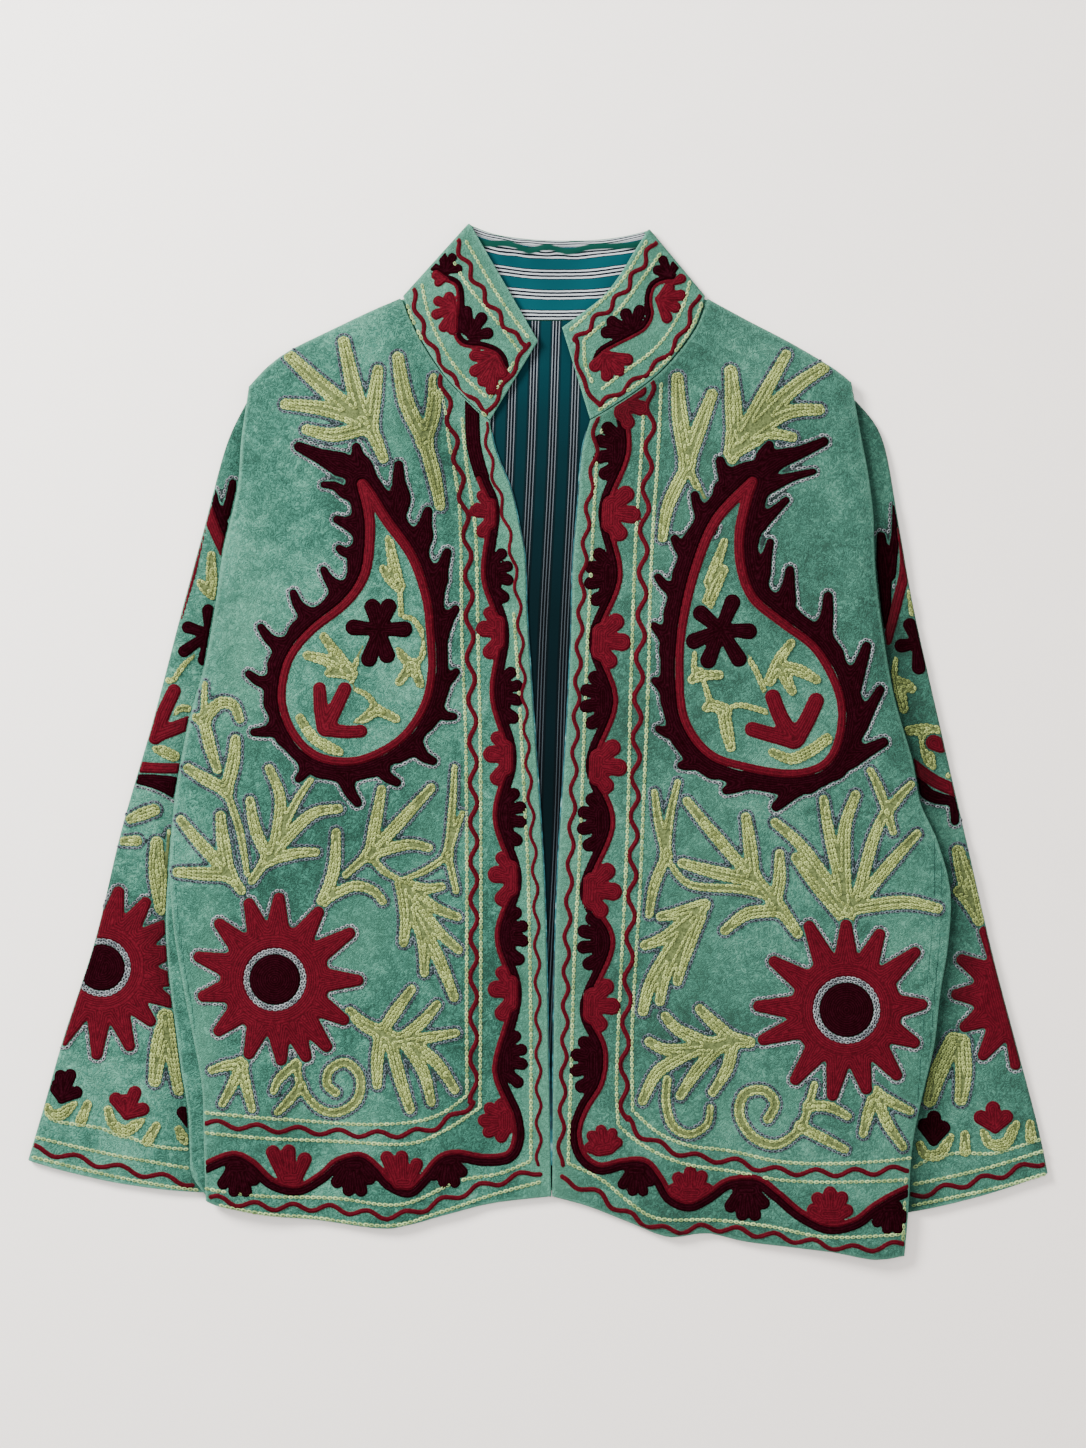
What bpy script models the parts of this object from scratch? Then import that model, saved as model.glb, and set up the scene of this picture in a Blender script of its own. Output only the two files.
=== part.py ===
"""Velvet jacket with a stand collar, laid flat and open on a surface.

X runs across the jacket, Y from hem to collar and Z up out of the surface. The origin is the
middle of the underside. Every size below is in millimetres.
"""

import math

import bmesh
import bpy

OBJECT_NAME = "suzani_jacket"
MM = 0.001

# Cloth and seams
BACK_WALL = 2.0
FRONT_WALL = 2.2
SLEEVE_WALL = 1.8
COLLAR_WALL = 2.2
LINING_WALL = 1.0
SEAM_GAP = 0.3
NECK_POINT_GAP = 1.5
CLIMB_GAP = 0.7
SLEEVE_HEIGHT = 5.2
SLEEVE_SLOPE = 60.0
SLEEVE_MARGIN = 9.0
PANEL_AIR = 1.6
PANEL_AIR_REACH = 12.0
HEM_SETBACK = 4.0

# Linings: the back's runs this far under the fronts, and the collar's keeps clear of the collar's edges
LINING_UNDERLAP = 24.0
LINING_HEM_Y = -312.0
LINING_NECK_X = (-47.0, 57.0)
COLLAR_LINING_INSET = 6.0
COLLAR_LINING_START = 0.006
COLLAR_LINING_HEIGHT = 0.982

# Shoulder seams, from the shoulder point to the neck point: x, y
SHOULDER_RIGHT = [
    (-201.6, 247.0), (-187.6, 261.8), (-170.1, 274.4), (-139.3, 289.8), (-113.4, 302.0), (-94.6, 309.4),
]
SHOULDER_LEFT = [(218.4, 249.9), (205.1, 260.4), (175.7, 278.6), (145.6, 294.4), (117.0, 309.4)]

# Sides of the back, from the hem to the shoulder point: x, y
SIDE_RIGHT = [
    (-231.7, -317.0), (-241.5, -303.0), (-243.0, -285.0), (-244.3, -256.9), (-248.5, -232.4),
    (-252.7, -200.9), (-257.6, -161.0), (-259.7, -125.3), (-257.6, -88.2), (-253.4, -39.2),
    (-243.6, 14.0), (-232.4, 53.9), (-225.4, 93.1), (-219.8, 132.3), (-210.0, 175.0),
    (-207.0, 211.0), (-201.6, 247.0),
]
SIDE_LEFT = [
    (254.5, -352.0), (258.3, -328.0), (261.1, -283.5), (268.1, -247.8), (276.5, -212.1),
    (280.7, -176.4), (286.3, -140.7), (287.6, -104.0), (278.6, -69.3), (266.7, -42.7),
    (261.1, -12.6), (247.8, 34.3), (238.7, 90.3), (235.2, 123.2), (234.0, 157.5),
    (230.5, 186.0), (225.4, 213.0), (218.4, 249.9),
]
# The wearer's right front ends at the side seam, which turns in to the vent: x, y
SEAM_RIGHT = [
    (-231.5, -320.5), (-232.8, -285.0), (-233.6, -250.0), (-235.6, -231.0), (-246.0, -178.0),
    (-253.0, -138.0), (-255.6, -112.0), (-256.6, -88.2), (-252.4, -39.2), (-242.6, 14.0),
    (-231.4, 53.9), (-224.4, 93.1), (-218.8, 132.3), (-209.2, 175.0), (-206.4, 211.0),
    (-201.6, 247.0),
]
SEAM_LEFT = [
    (255.5, -359.1), (258.0, -328.3), (260.8, -283.5), (267.8, -247.8), (276.2, -212.1),
    (280.4, -176.4), (286.0, -140.7), (287.3, -104.0), (278.3, -69.3), (266.4, -42.7),
    (260.8, -12.6), (247.5, 34.3), (238.4, 90.3), (234.9, 123.2), (233.7, 157.5),
    (230.2, 186.0), (225.1, 213.0), (218.4, 249.9),
]
# Hems of the fronts, from the side to the front edge: x, y
HEM_RIGHT = [
    (-231.5, -320.5), (-222.6, -324.0), (-187.6, -331.1), (-153.3, -334.6), (-109.9, -340.2),
    (-88.0, -337.4), (-65.8, -331.1), (-31.5, -322.7), (9.3, -318.0),
]
HEM_LEFT = [
    (255.5, -359.1), (233.8, -361.2), (206.5, -356.3), (179.9, -353.5), (144.2, -349.3),
    (117.6, -343.7), (91.0, -346.0), (63.7, -336.0), (37.1, -325.5), (9.9, -318.0),
]
# Front edges, from the hem to the neck seam: x, y
EDGE_RIGHT = [
    (9.3, -318.0), (7.0, -204.4), (4.2, -97.3), (-2.0, 0.0), (-7.7, 86.1), (-9.1, 127.4),
    (-13.3, 151.2), (-18.9, 175.7), (-29.6, 203.0), (-33.9, 223.4),
]
EDGE_LEFT = [
    (9.9, -318.0), (10.7, -228.2), (12.1, -143.5), (14.9, -72.1), (19.6, -0.7), (23.1, 70.7),
    (24.5, 123.2), (28.0, 165.9), (31.0, 203.0), (36.8, 224.1),
]
# Neck seams of the fronts, from the front edge to the neck point: x, y
NECK_RIGHT = [
    (-33.6, 224.0), (-39.2, 228.9), (-51.1, 240.1), (-63.7, 253.4), (-72.8, 266.0),
    (-81.2, 280.0), (-88.2, 294.7), (-93.8, 310.0),
]
NECK_LEFT = [
    (36.4, 224.7), (46.2, 230.3), (67.9, 244.3), (84.7, 257.6), (99.4, 274.4),
    (111.0, 291.9), (116.2, 310.0),
]
NECK_BACK = [
    (-93.8, 310.0), (-60.0, 301.5), (-22.0, 295.0), (14.7, 294.0),
    (50.0, 295.5), (84.0, 302.0), (116.2, 310.0),
]
# Free top edge of the collar: x, y
COLLAR_TOP_RIGHT = [(0.0, 279.0), (-16.8, 308.0), (-33.6, 337.0), (-47.6, 361.0)]
COLLAR_TOP_BACK = [
    (-47.6, 361.0), (-30.0, 354.5), (-6.0, 351.0), (14.7, 350.0),
    (40.0, 350.5), (60.0, 353.0), (77.0, 357.0),
]
COLLAR_TOP_LEFT = [(16.8, 288.4), (32.2, 299.5), (46.2, 311.0), (57.4, 325.5), (66.3, 340.0), (77.0, 357.0)]
# Heights of the collar's middle layer at the neck seam and at the free edge
COLLAR_BACK_Z = COLLAR_WALL / 2
COLLAR_FRONT_NECK_Z = 5.6
COLLAR_FRONT_TOP_Z = 8.0

# Sleeves from the armhole to the cuff: outer x and y, inner x and y
SLEEVE_RIGHT = [
    (-203.0, 238.0, -135.0, 190.0), (-217.7, 207.0, -124.0, 158.0), (-233.1, 149.8, -114.0, 104.0),
    (-249.9, 87.5, -112.0, 50.0), (-269.5, 12.6, -128.0, -25.0), (-291.2, -62.3, -150.0, -100.0),
    (-309.4, -138.6, -175.0, -172.0), (-331.8, -207.9, -200.0, -238.0), (-345.8, -257.0, -216.0, -285.0),
    (-356.3, -292.6, -224.0, -315.5),
]
SLEEVE_LEFT = [
    (222.0, 238.0, 150.0, 195.0), (240.8, 210.7, 138.0, 164.0), (252.5, 149.0, 126.0, 108.0),
    (263.2, 89.6, 122.0, 55.0), (284.2, -3.5, 142.0, -38.0), (300.0, -72.0, 160.0, -108.0),
    (317.1, -146.3, 182.0, -182.0), (332.5, -205.1, 200.0, -244.0), (348.6, -266.0, 216.0, -300.0),
    (356.3, -301.7, 222.0, -334.0),
]
CUFF_BOW = 5.0

# Share of its height that a rise or a fold has at its start
RIDGE_START = 0.35
# Soft rises of the whole body, back and fronts together: start x and y, end x and y, half width, height
SWELLS = [
    (-108.0, -352.0, -98.0, -170.0, 48.0, 3.6),
    (90.0, -356.0, 96.0, -190.0, 38.0, 3.2),
    (228.0, -372.0, 214.0, -210.0, 42.0, 2.6),
    (-128.0, 205.0, -140.0, -40.0, 55.0, 2.8),
    (138.0, 205.0, 150.0, -40.0, 58.0, 2.8),
]
# Folds of the fronts alone: start x and y, end x and y, half width, height
FOLDS = [
    (-214.0, 190.0, -226.0, 40.0, 12.0, 1.2),
    (-70.0, 150.0, -78.0, -90.0, 26.0, 1.2),
    (-180.0, -120.0, -196.0, -300.0, 24.0, 1.5),
    (-52.0, -180.0, -60.0, -330.0, 22.0, 1.5),
    (212.0, 178.0, 236.0, 140.0, 11.0, 1.4),
    (70.0, 120.0, 74.0, -110.0, 26.0, 1.1),
    (252.0, -90.0, 240.0, -320.0, 20.0, 1.4),
    (150.0, -180.0, 158.0, -345.0, 26.0, 1.6),
    (46.0, -170.0, 48.0, -325.0, 18.0, 1.2),
]

# Faces across and along each piece
FRONT_ACROSS = (9, 8)
FRONT_ALONG = 30
BACK_ACROSS = (7, 14, 7)
BACK_ALONG = 30
SLEEVE_ALONG = 20
SLEEVE_FLAT_STEPS = 6
SLEEVE_END_STEPS = 4
COLLAR_FOLD_STEPS = 5
COLLAR_HIGH_STEPS = 4
LINING_ACROSS = 8
LINING_ALONG = 24

VELVET_GREEN = (0.115, 0.345, 0.262, 1.0)
VELVET_ROUGHNESS = 0.85
LINING_TEAL = (0.004, 0.130, 0.150, 1.0)
LINING_ROUGHNESS = 0.7


def clear_scene():
    for obj in list(bpy.data.objects):
        bpy.data.objects.remove(obj, do_unlink=True)


def make_material(name, colour, roughness):
    material = bpy.data.materials.new(name)
    material.use_nodes = True
    shader = material.node_tree.nodes["Principled BSDF"]
    shader.inputs["Base Color"].default_value = colour
    shader.inputs["Roughness"].default_value = roughness
    shader.inputs["Metallic"].default_value = 0.0
    return material


# Curves and surfaces in the plan


def ease(value):
    """Rises smoothly from 0 at 0 to 1 at 1."""
    value = min(1.0, max(0.0, value))
    return value * value * (3 - 2 * value)


def mix(a, b, share):
    return tuple(p + (q - p) * share for p, q in zip(a, b))


def spline(points, steps=10):
    """A smooth curve through the points, with its tangents set by the neighbours."""
    curve = []
    last = len(points) - 1
    for i in range(last):
        start, end = points[i], points[i + 1]
        before, after = points[max(i - 1, 0)], points[min(i + 2, last)]
        for step in range(steps):
            t = step / steps
            curve.append(tuple(
                b + 0.5 * t * (c - a + t * (2 * a - 5 * b + 4 * c - d + t * (3 * b - a - 3 * c + d)))
                for a, b, c, d in zip(before, start, end, after)
            ))
    curve.append(points[-1])
    return curve


def even(points, count):
    """count + 1 points at equal distances along the smooth curve through the points."""
    curve = spline(points)
    marks = [0.0]
    for a, b in zip(curve, curve[1:]):
        marks.append(marks[-1] + math.dist(a, b))
    spaced, i = [], 0
    for step in range(count + 1):
        wanted = marks[-1] * step / count
        while i < len(marks) - 2 and marks[i + 1] < wanted:
            i += 1
        spaced.append(mix(curve[i], curve[i + 1], (wanted - marks[i]) / (marks[i + 1] - marks[i])))
    return spaced


def moved_out(points, distance, last_distance=None):
    """The line of points, moved sideways to its left, by a distance that may change towards its end."""
    moved = []
    first_distance, last = distance, len(points) - 1
    for i, (x, y) in enumerate(points):
        ax, ay = points[max(i - 1, 0)]
        bx, by = points[min(i + 1, len(points) - 1)]
        length = math.hypot(bx - ax, by - ay)
        if last_distance is not None:
            distance = first_distance + (last_distance - first_distance) * (i / last) ** 2
        moved.append((x - (by - ay) / length * distance, y + (bx - ax) / length * distance))
    return moved


def patch(bottom, top, start_side, end_side):
    """Rows of plan points between four edges, whose ends meet at the corners."""
    rows = []
    last_row, last_column = len(start_side) - 1, len(bottom) - 1
    for r in range(last_row + 1):
        v = r / last_row
        row = []
        for c in range(last_column + 1):
            u = c / last_column
            across = mix(start_side[r], end_side[r], u)
            along = mix(bottom[c], top[c], v)
            corner = mix(mix(bottom[0], bottom[-1], u), mix(top[0], top[-1], u), v)
            row.append(tuple(a + b - c2 for a, b, c2 in zip(across, along, corner)))
        rows.append(row)
    return rows


# Heights over the plan


def distance_to_line(x, y, ax, ay, bx, by):
    """How far the point is from a straight stretch, and how far along the stretch it lies, from 0 to 1."""
    length = (bx - ax) ** 2 + (by - ay) ** 2
    share = min(1.0, max(0.0, ((x - ax) * (bx - ax) + (y - ay) * (by - ay)) / length))
    return math.hypot(x - ax - share * (bx - ax), y - ay - share * (by - ay)), share


def distance_to_path(x, y, path):
    return min(distance_to_line(x, y, *a, *b)[0] for a, b in zip(path, path[1:]))


def inside(x, y, outline):
    crossings = 0
    for (ax, ay), (bx, by) in zip(outline, outline[1:] + outline[:1]):
        if (ay > y) != (by > y) and x < ax + (bx - ax) * (y - ay) / (by - ay):
            crossings += 1
    return crossings % 2 == 1


def sleeve_outline(rows):
    return [(row[0], row[1]) for row in rows] + [(row[2], row[3]) for row in reversed(rows)]


SLEEVE_OUTLINES = [sleeve_outline(SLEEVE_RIGHT), sleeve_outline(SLEEVE_LEFT)]


def sleeve_rise(x, y):
    """How high the back lies over the sleeve under it."""
    nearest = min(
        0.0 if inside(x, y, outline) else distance_to_path(x, y, outline + outline[:1])
        for outline in SLEEVE_OUTLINES
    )
    return (SLEEVE_HEIGHT + SEAM_GAP) * ease(1 - (nearest - SLEEVE_MARGIN) / SLEEVE_SLOPE)


def ridges(x, y, table):
    height = 0.0
    for ax, ay, bx, by, half_width, rise in table:
        away, share = distance_to_line(x, y, ax, ay, bx, by)
        if away < half_width:
            grown = RIDGE_START + (1 - RIDGE_START) * ease(share * 2)
            height += rise * grown * (1 - (away / half_width) ** 2) ** 2
    return height


def back_under(x, y):
    return sleeve_rise(x, y) + ridges(x, y, SWELLS)


def back_over(x, y):
    return back_under(x, y) + BACK_WALL


def front_under(x, y, closed_edge):
    """The front lies on the back along its seams, and rides a little over the lining inside them."""
    free = ease(distance_to_path(x, y, closed_edge) / PANEL_AIR_REACH)
    climb = sleeve_rise(x, y) / (SLEEVE_HEIGHT + SEAM_GAP)
    gap = SEAM_GAP + CLIMB_GAP * 4 * climb * (1 - climb)
    return back_over(x, y) + gap + free * (PANEL_AIR + ridges(x, y, FOLDS))


# Solids


def add_object(name, mesh, material, collection):
    mesh.materials.append(material)
    mesh.shade_smooth()
    mesh.set_sharp_from_angle(angle=math.radians(40))
    obj = bpy.data.objects.new(name, mesh)
    collection.objects.link(obj)
    return obj


def mesh_from(rows, closed=False):
    """A surface through rows of points in millimetres. A closed one joins each row's end to its start."""
    shape = bmesh.new()
    grid = [[shape.verts.new([value * MM for value in point]) for point in row] for row in rows]
    for low, high in zip(grid, grid[1:]):
        columns = len(low) if closed else len(low) - 1
        for c in range(columns):
            d = (c + 1) % len(low)
            shape.faces.new((low[c], low[d], high[d], high[c]))
    return shape


def finish_mesh(shape, name):
    bmesh.ops.recalc_face_normals(shape, faces=shape.faces)
    mesh = bpy.data.meshes.new(name)
    shape.to_mesh(mesh)
    shape.free()
    return mesh


def add_panel(name, plan, under, wall, material, collection):
    """A cloth panel over the plan points: its underside, and the same surface one wall higher."""
    shape = mesh_from([[(x, y, under(x, y)) for x, y in row] for row in plan])
    top = bmesh.ops.extrude_face_region(shape, geom=shape.faces[:])
    top_points = [item for item in top["geom"] if isinstance(item, bmesh.types.BMVert)]
    bmesh.ops.translate(shape, verts=top_points, vec=(0, 0, wall * MM))
    return add_object(name, finish_mesh(shape, name), material, collection)


def build_back(velvet, collection):
    neck = moved_out(even(NECK_BACK, BACK_ACROSS[1]), -SEAM_GAP)
    shoulder_r = even(SHOULDER_RIGHT[:-1] + [neck[0]], BACK_ACROSS[0])
    shoulder_l = even([neck[-1]] + SHOULDER_LEFT[-2::-1], BACK_ACROSS[2])
    top = shoulder_r + neck[1:-1] + shoulder_l
    hem_line = HEM_RIGHT[1:-1] + [(9.6, -318.0)] + HEM_LEFT[-2:0:-1]
    hem = [SIDE_RIGHT[0]] + [(x, y + HEM_SETBACK) for x, y in hem_line] + [SIDE_LEFT[0]]
    plan = patch(
        even(hem, sum(BACK_ACROSS)), top, even(SIDE_RIGHT, BACK_ALONG), even(SIDE_LEFT, BACK_ALONG)
    )
    return add_panel("back", plan, back_under, BACK_WALL, velvet, collection)


def build_front(name, hem, side, shoulder, neck, edge, outward, velvet, collection):
    """outward is 1 where the neck seam's outer side is to its left, and -1 where it is to its right."""
    neck_line = moved_out(even(neck, FRONT_ACROSS[1]), outward * SEAM_GAP, outward * NECK_POINT_GAP)[::-1]
    shoulder_line = even(shoulder[:-1] + [neck_line[0]], FRONT_ACROSS[0])
    top = shoulder_line + neck_line[1:]
    plan = patch(
        even(hem, sum(FRONT_ACROSS)), top, even(side, FRONT_ALONG), even(edge[:-1] + [top[-1]], FRONT_ALONG)
    )
    closed_edge = side + shoulder[1:-1] + [shoulder_line[-1]]
    return add_panel(
        name, plan, lambda x, y: front_under(x, y, closed_edge), FRONT_WALL, velvet, collection
    )


def flat_ring(start, end, half_height, inset, bow):
    """A flattened ring round the line from start to end, drawn in by the inset on all sides."""
    width = math.dist(start, end)
    along = ((end[0] - start[0]) / width, (end[1] - start[1]) / width)
    radius = half_height - inset
    reach = width / 2 - half_height
    ring = []
    for side in (1, -1):
        for step in range(SLEEVE_END_STEPS):
            angle = math.pi * (0.5 - step / SLEEVE_END_STEPS)
            ring.append((side * (reach + radius * math.cos(angle)), side * radius * math.sin(angle)))
        for step in range(SLEEVE_FLAT_STEPS):
            ring.append((side * reach * (1 - 2 * step / SLEEVE_FLAT_STEPS), -side * radius))
    middle = ((start[0] + end[0]) / 2, (start[1] + end[1]) / 2)
    points = []
    for offset, z in ring:
        sag = bow * (1 - (offset / (width / 2)) ** 2)
        points.append((middle[0] + along[0] * offset, middle[1] + along[1] * offset - sag, half_height + z))
    return points


def build_sleeve(name, table, velvet, collection):
    """A flattened tube, open at the armhole and at the cuff."""
    rows = even(table, SLEEVE_ALONG)
    shape = bmesh.new()
    rings = []
    for inset in (0.0, SLEEVE_WALL):
        for r, (outer_x, outer_y, inner_x, inner_y) in enumerate(rows):
            bow = CUFF_BOW * ease((r / SLEEVE_ALONG - 0.6) / 0.4)
            ring = flat_ring((outer_x, outer_y), (inner_x, inner_y), SLEEVE_HEIGHT / 2, inset, bow)
            rings.append([shape.verts.new([value * MM for value in point]) for point in ring])
    outer, inner = rings[: len(rows)], rings[len(rows):]
    order = outer + inner[::-1]
    for low, high in zip(order, order[1:] + order[:1]):
        for c in range(len(low)):
            d = (c + 1) % len(low)
            shape.faces.new((low[c], low[d], high[d], high[c]))
    return add_object(name, finish_mesh(shape, name), velvet, collection)


def collar_sections():
    """Pairs of points along the band, at the neck seam and at the free edge, from front end to front end."""
    front_steps, back_steps = FRONT_ACROSS[1], BACK_ACROSS[1]
    right = list(zip(even(NECK_RIGHT, front_steps), even(COLLAR_TOP_RIGHT, front_steps)))
    back = list(zip(even(NECK_BACK, back_steps), even(COLLAR_TOP_BACK, back_steps)))
    left = list(zip(even(NECK_LEFT, front_steps), even(COLLAR_TOP_LEFT, front_steps)))
    sections = [lifted(pair, COLLAR_FRONT_NECK_Z, COLLAR_FRONT_TOP_Z) for pair in right[:-1]]
    sections += fold(right[-2], right[-1], back[1])
    sections += [lifted(pair, COLLAR_BACK_Z, COLLAR_BACK_Z) for pair in back[1:-1]]
    sections += fold(left[-2], left[-1], back[-2])[::-1]
    sections += [lifted(pair, COLLAR_FRONT_NECK_Z, COLLAR_FRONT_TOP_Z) for pair in reversed(left[:-1])]
    return sections


def lifted(pair, neck_z, top_z):
    (nx, ny), (tx, ty) = pair
    return (nx, ny, neck_z), (tx, ty, top_z)


def fold(front_pair, corner_pair, back_pair):
    """The half turn where the band folds over, from its front layer down to its back layer."""
    sections = []
    for step in range(COLLAR_FOLD_STEPS + 1):
        angle = math.pi * step / COLLAR_FOLD_STEPS
        neighbours = front_pair if math.cos(angle) > 0 else back_pair
        section = []
        for corner, neighbour, high in zip(
            corner_pair, neighbours, (COLLAR_FRONT_NECK_Z, COLLAR_FRONT_TOP_Z)
        ):
            radius = (high - COLLAR_BACK_Z) / 2
            inward = radius * (1 - math.sin(angle)) / math.dist(corner, neighbour)
            x, y = mix(corner, neighbour, inward)
            section.append((x, y, COLLAR_BACK_Z + radius * (1 + math.cos(angle))))
        sections.append(tuple(section))
    return sections


def build_collar(velvet, collection):
    rows = [
        [mix(neck, top, step / COLLAR_HIGH_STEPS) for step in range(COLLAR_HIGH_STEPS + 1)]
        for neck, top in collar_sections()
    ]
    obj = add_object("collar", finish_mesh(mesh_from(rows), "collar"), velvet, collection)
    wall = obj.modifiers.new("wall", "SOLIDIFY")
    wall.thickness = COLLAR_WALL * MM
    wall.offset = 0.0
    return obj


def build_collar_lining(lining, collection):
    """The striped band inside the back of the neck, on the back layer of the collar."""
    neck = even(NECK_BACK, LINING_ALONG)
    top = even(COLLAR_TOP_BACK, LINING_ALONG)
    inset = COLLAR_LINING_INSET / math.dist(NECK_BACK[0], NECK_BACK[-1])
    plan = []
    for step in range(COLLAR_HIGH_STEPS + 1):
        share = COLLAR_LINING_START + COLLAR_LINING_HEIGHT * step / COLLAR_HIGH_STEPS
        line = [mix(a, b, share) for a, b in zip(neck, top)]
        ends = mix(line[0], line[-1], inset), mix(line[-1], line[0], inset)
        plan.append([ends[0]] + line[2:-2] + [ends[1]])
    height = COLLAR_WALL + SEAM_GAP
    return add_panel("collar_lining", plan, lambda x, y: height, LINING_WALL, lining, collection)


def build_back_lining(lining, collection):
    """The striped cloth of the back, as far as it shows between the front edges."""
    neck = [point for point in spline(NECK_BACK) if LINING_NECK_X[0] < point[0] < LINING_NECK_X[1]]
    top = moved_out(even(neck, LINING_ACROSS), -SEAM_GAP)
    right_edge = [(x - LINING_UNDERLAP, y) for x, y in EDGE_RIGHT[:-1]]
    left_edge = [(x + LINING_UNDERLAP, y) for x, y in EDGE_LEFT[:-1]]
    right_side = even([(right_edge[0][0], LINING_HEM_Y)] + right_edge[1:] + [top[0]], LINING_ALONG)
    left_side = even([(left_edge[0][0], LINING_HEM_Y)] + left_edge[1:] + [top[-1]], LINING_ALONG)
    hem = even([right_side[0], left_side[0]], LINING_ACROSS)
    plan = patch(hem, top, right_side, left_side)
    return add_panel(
        "back_lining", plan, lambda x, y: back_over(x, y) + SEAM_GAP, LINING_WALL, lining, collection
    )


def main():
    clear_scene()
    collection = bpy.data.collections.new(OBJECT_NAME)
    bpy.context.scene.collection.children.link(collection)
    names = ("back", "front_right", "front_left", "sleeve_right", "sleeve_left", "collar")
    velvet = {name: make_material(f"velvet_{name}", VELVET_GREEN, VELVET_ROUGHNESS) for name in names}
    lining = {
        name: make_material(f"striped_{name}", LINING_TEAL, LINING_ROUGHNESS) for name in ("collar", "back")
    }

    build_back(velvet["back"], collection)
    build_front(
        "front_right", HEM_RIGHT, SEAM_RIGHT, SHOULDER_RIGHT, NECK_RIGHT, EDGE_RIGHT, 1,
        velvet["front_right"], collection,
    )
    build_front(
        "front_left", HEM_LEFT, SEAM_LEFT, SHOULDER_LEFT, NECK_LEFT, EDGE_LEFT, -1,
        velvet["front_left"], collection,
    )
    build_sleeve("sleeve_right", SLEEVE_RIGHT, velvet["sleeve_right"], collection)
    build_sleeve("sleeve_left", SLEEVE_LEFT, velvet["sleeve_left"], collection)
    build_collar(velvet["collar"], collection)
    build_collar_lining(lining["collar"], collection)
    build_back_lining(lining["back"], collection)


main()
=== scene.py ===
"""Looks of the velvet jacket laid flat: cloth panels, striped linings and chain-stitch embroidery.

Sizes are in millimetres, in the frame of the solids: X across the jacket, Y from hem to collar and
Z up out of the surface. The panels repeat the outlines and heights of the solids, more finely.
"""

import math

import bmesh
import bpy
import numpy as np
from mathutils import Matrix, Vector
from mathutils.bvhtree import BVHTree


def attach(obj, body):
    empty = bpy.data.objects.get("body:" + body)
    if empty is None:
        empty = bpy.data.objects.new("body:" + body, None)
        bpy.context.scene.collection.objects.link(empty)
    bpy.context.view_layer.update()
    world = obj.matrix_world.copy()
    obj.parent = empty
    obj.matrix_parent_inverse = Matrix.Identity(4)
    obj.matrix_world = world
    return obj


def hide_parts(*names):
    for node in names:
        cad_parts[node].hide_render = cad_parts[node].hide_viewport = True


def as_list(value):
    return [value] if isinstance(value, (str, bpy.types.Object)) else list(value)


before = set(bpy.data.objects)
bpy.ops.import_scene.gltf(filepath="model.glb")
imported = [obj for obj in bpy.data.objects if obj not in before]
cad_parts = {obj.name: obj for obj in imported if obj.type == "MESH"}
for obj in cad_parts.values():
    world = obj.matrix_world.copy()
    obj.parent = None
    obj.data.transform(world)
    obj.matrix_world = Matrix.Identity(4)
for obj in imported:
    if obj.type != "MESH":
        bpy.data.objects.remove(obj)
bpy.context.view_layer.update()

MM = 0.001
RANDOM = np.random.default_rng(7)

# Cloth and seams, as in the solids
BACK_WALL = 2.0
FRONT_WALL = 2.2
SLEEVE_WALL = 1.8
COLLAR_WALL = 2.2
LINING_WALL = 1.0
SEAM_GAP = 0.3
NECK_POINT_GAP = 1.5
CLIMB_GAP = 0.7
SLEEVE_HEIGHT = 5.2
SLEEVE_SLOPE = 60.0
SLEEVE_MARGIN = 9.0
PANEL_AIR = 1.6
PANEL_AIR_REACH = 12.0
HEM_SETBACK = 4.0
LINING_UNDERLAP = 24.0
LINING_HEM_Y = -312.0
LINING_NECK_X = (-47.0, 57.0)
COLLAR_LINING_INSET = 6.0
COLLAR_LINING_START = 0.006
COLLAR_LINING_HEIGHT = 0.982
COLLAR_BACK_Z = COLLAR_WALL / 2
COLLAR_FRONT_NECK_Z = 5.6
COLLAR_FRONT_TOP_Z = 8.0
CUFF_BOW = 5.0
CUFF_PLACES = (0.2, 0.35, 0.5, 0.65, 0.8)
# Share of a sleeve's length where the bow of its cuff begins, and the rest of that length
BOW_START = 0.6
BOW_RUN = 0.4
RIDGE_START = 0.35
# Share of each edge line that belongs to the shoulder and to the neck, as in the solids
FRONT_SHOULDER_SHARE = 9 / 17
BACK_SHOULDER_SHARE = 7 / 28

# Shoulder seams, from the shoulder point to the neck point: x, y
SHOULDER_RIGHT = [
    (-201.6, 247), (-187.6, 261.8), (-170.1, 274.4), (-139.3, 289.8), (-113.4, 302), (-94.6, 309.4),
]
SHOULDER_LEFT = [(218.4, 249.9), (205.1, 260.4), (175.7, 278.6), (145.6, 294.4), (117, 309.4)]
# Sides of the back, from the hem to the shoulder point: x, y
SIDE_RIGHT = [
    (-231.7, -317), (-241.5, -303), (-243, -285), (-244.3, -256.9), (-248.5, -232.4), (-252.7, -200.9),
    (-257.6, -161), (-259.7, -125.3), (-257.6, -88.2), (-253.4, -39.2), (-243.6, 14), (-232.4, 53.9),
    (-225.4, 93.1), (-219.8, 132.3), (-210, 175), (-207, 211), (-201.6, 247),
]
SIDE_LEFT = [
    (254.5, -352), (258.3, -328), (261.1, -283.5), (268.1, -247.8), (276.5, -212.1), (280.7, -176.4),
    (286.3, -140.7), (287.6, -104), (278.6, -69.3), (266.7, -42.7), (261.1, -12.6), (247.8, 34.3),
    (238.7, 90.3), (235.2, 123.2), (234, 157.5), (230.5, 186), (225.4, 213), (218.4, 249.9),
]
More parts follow.
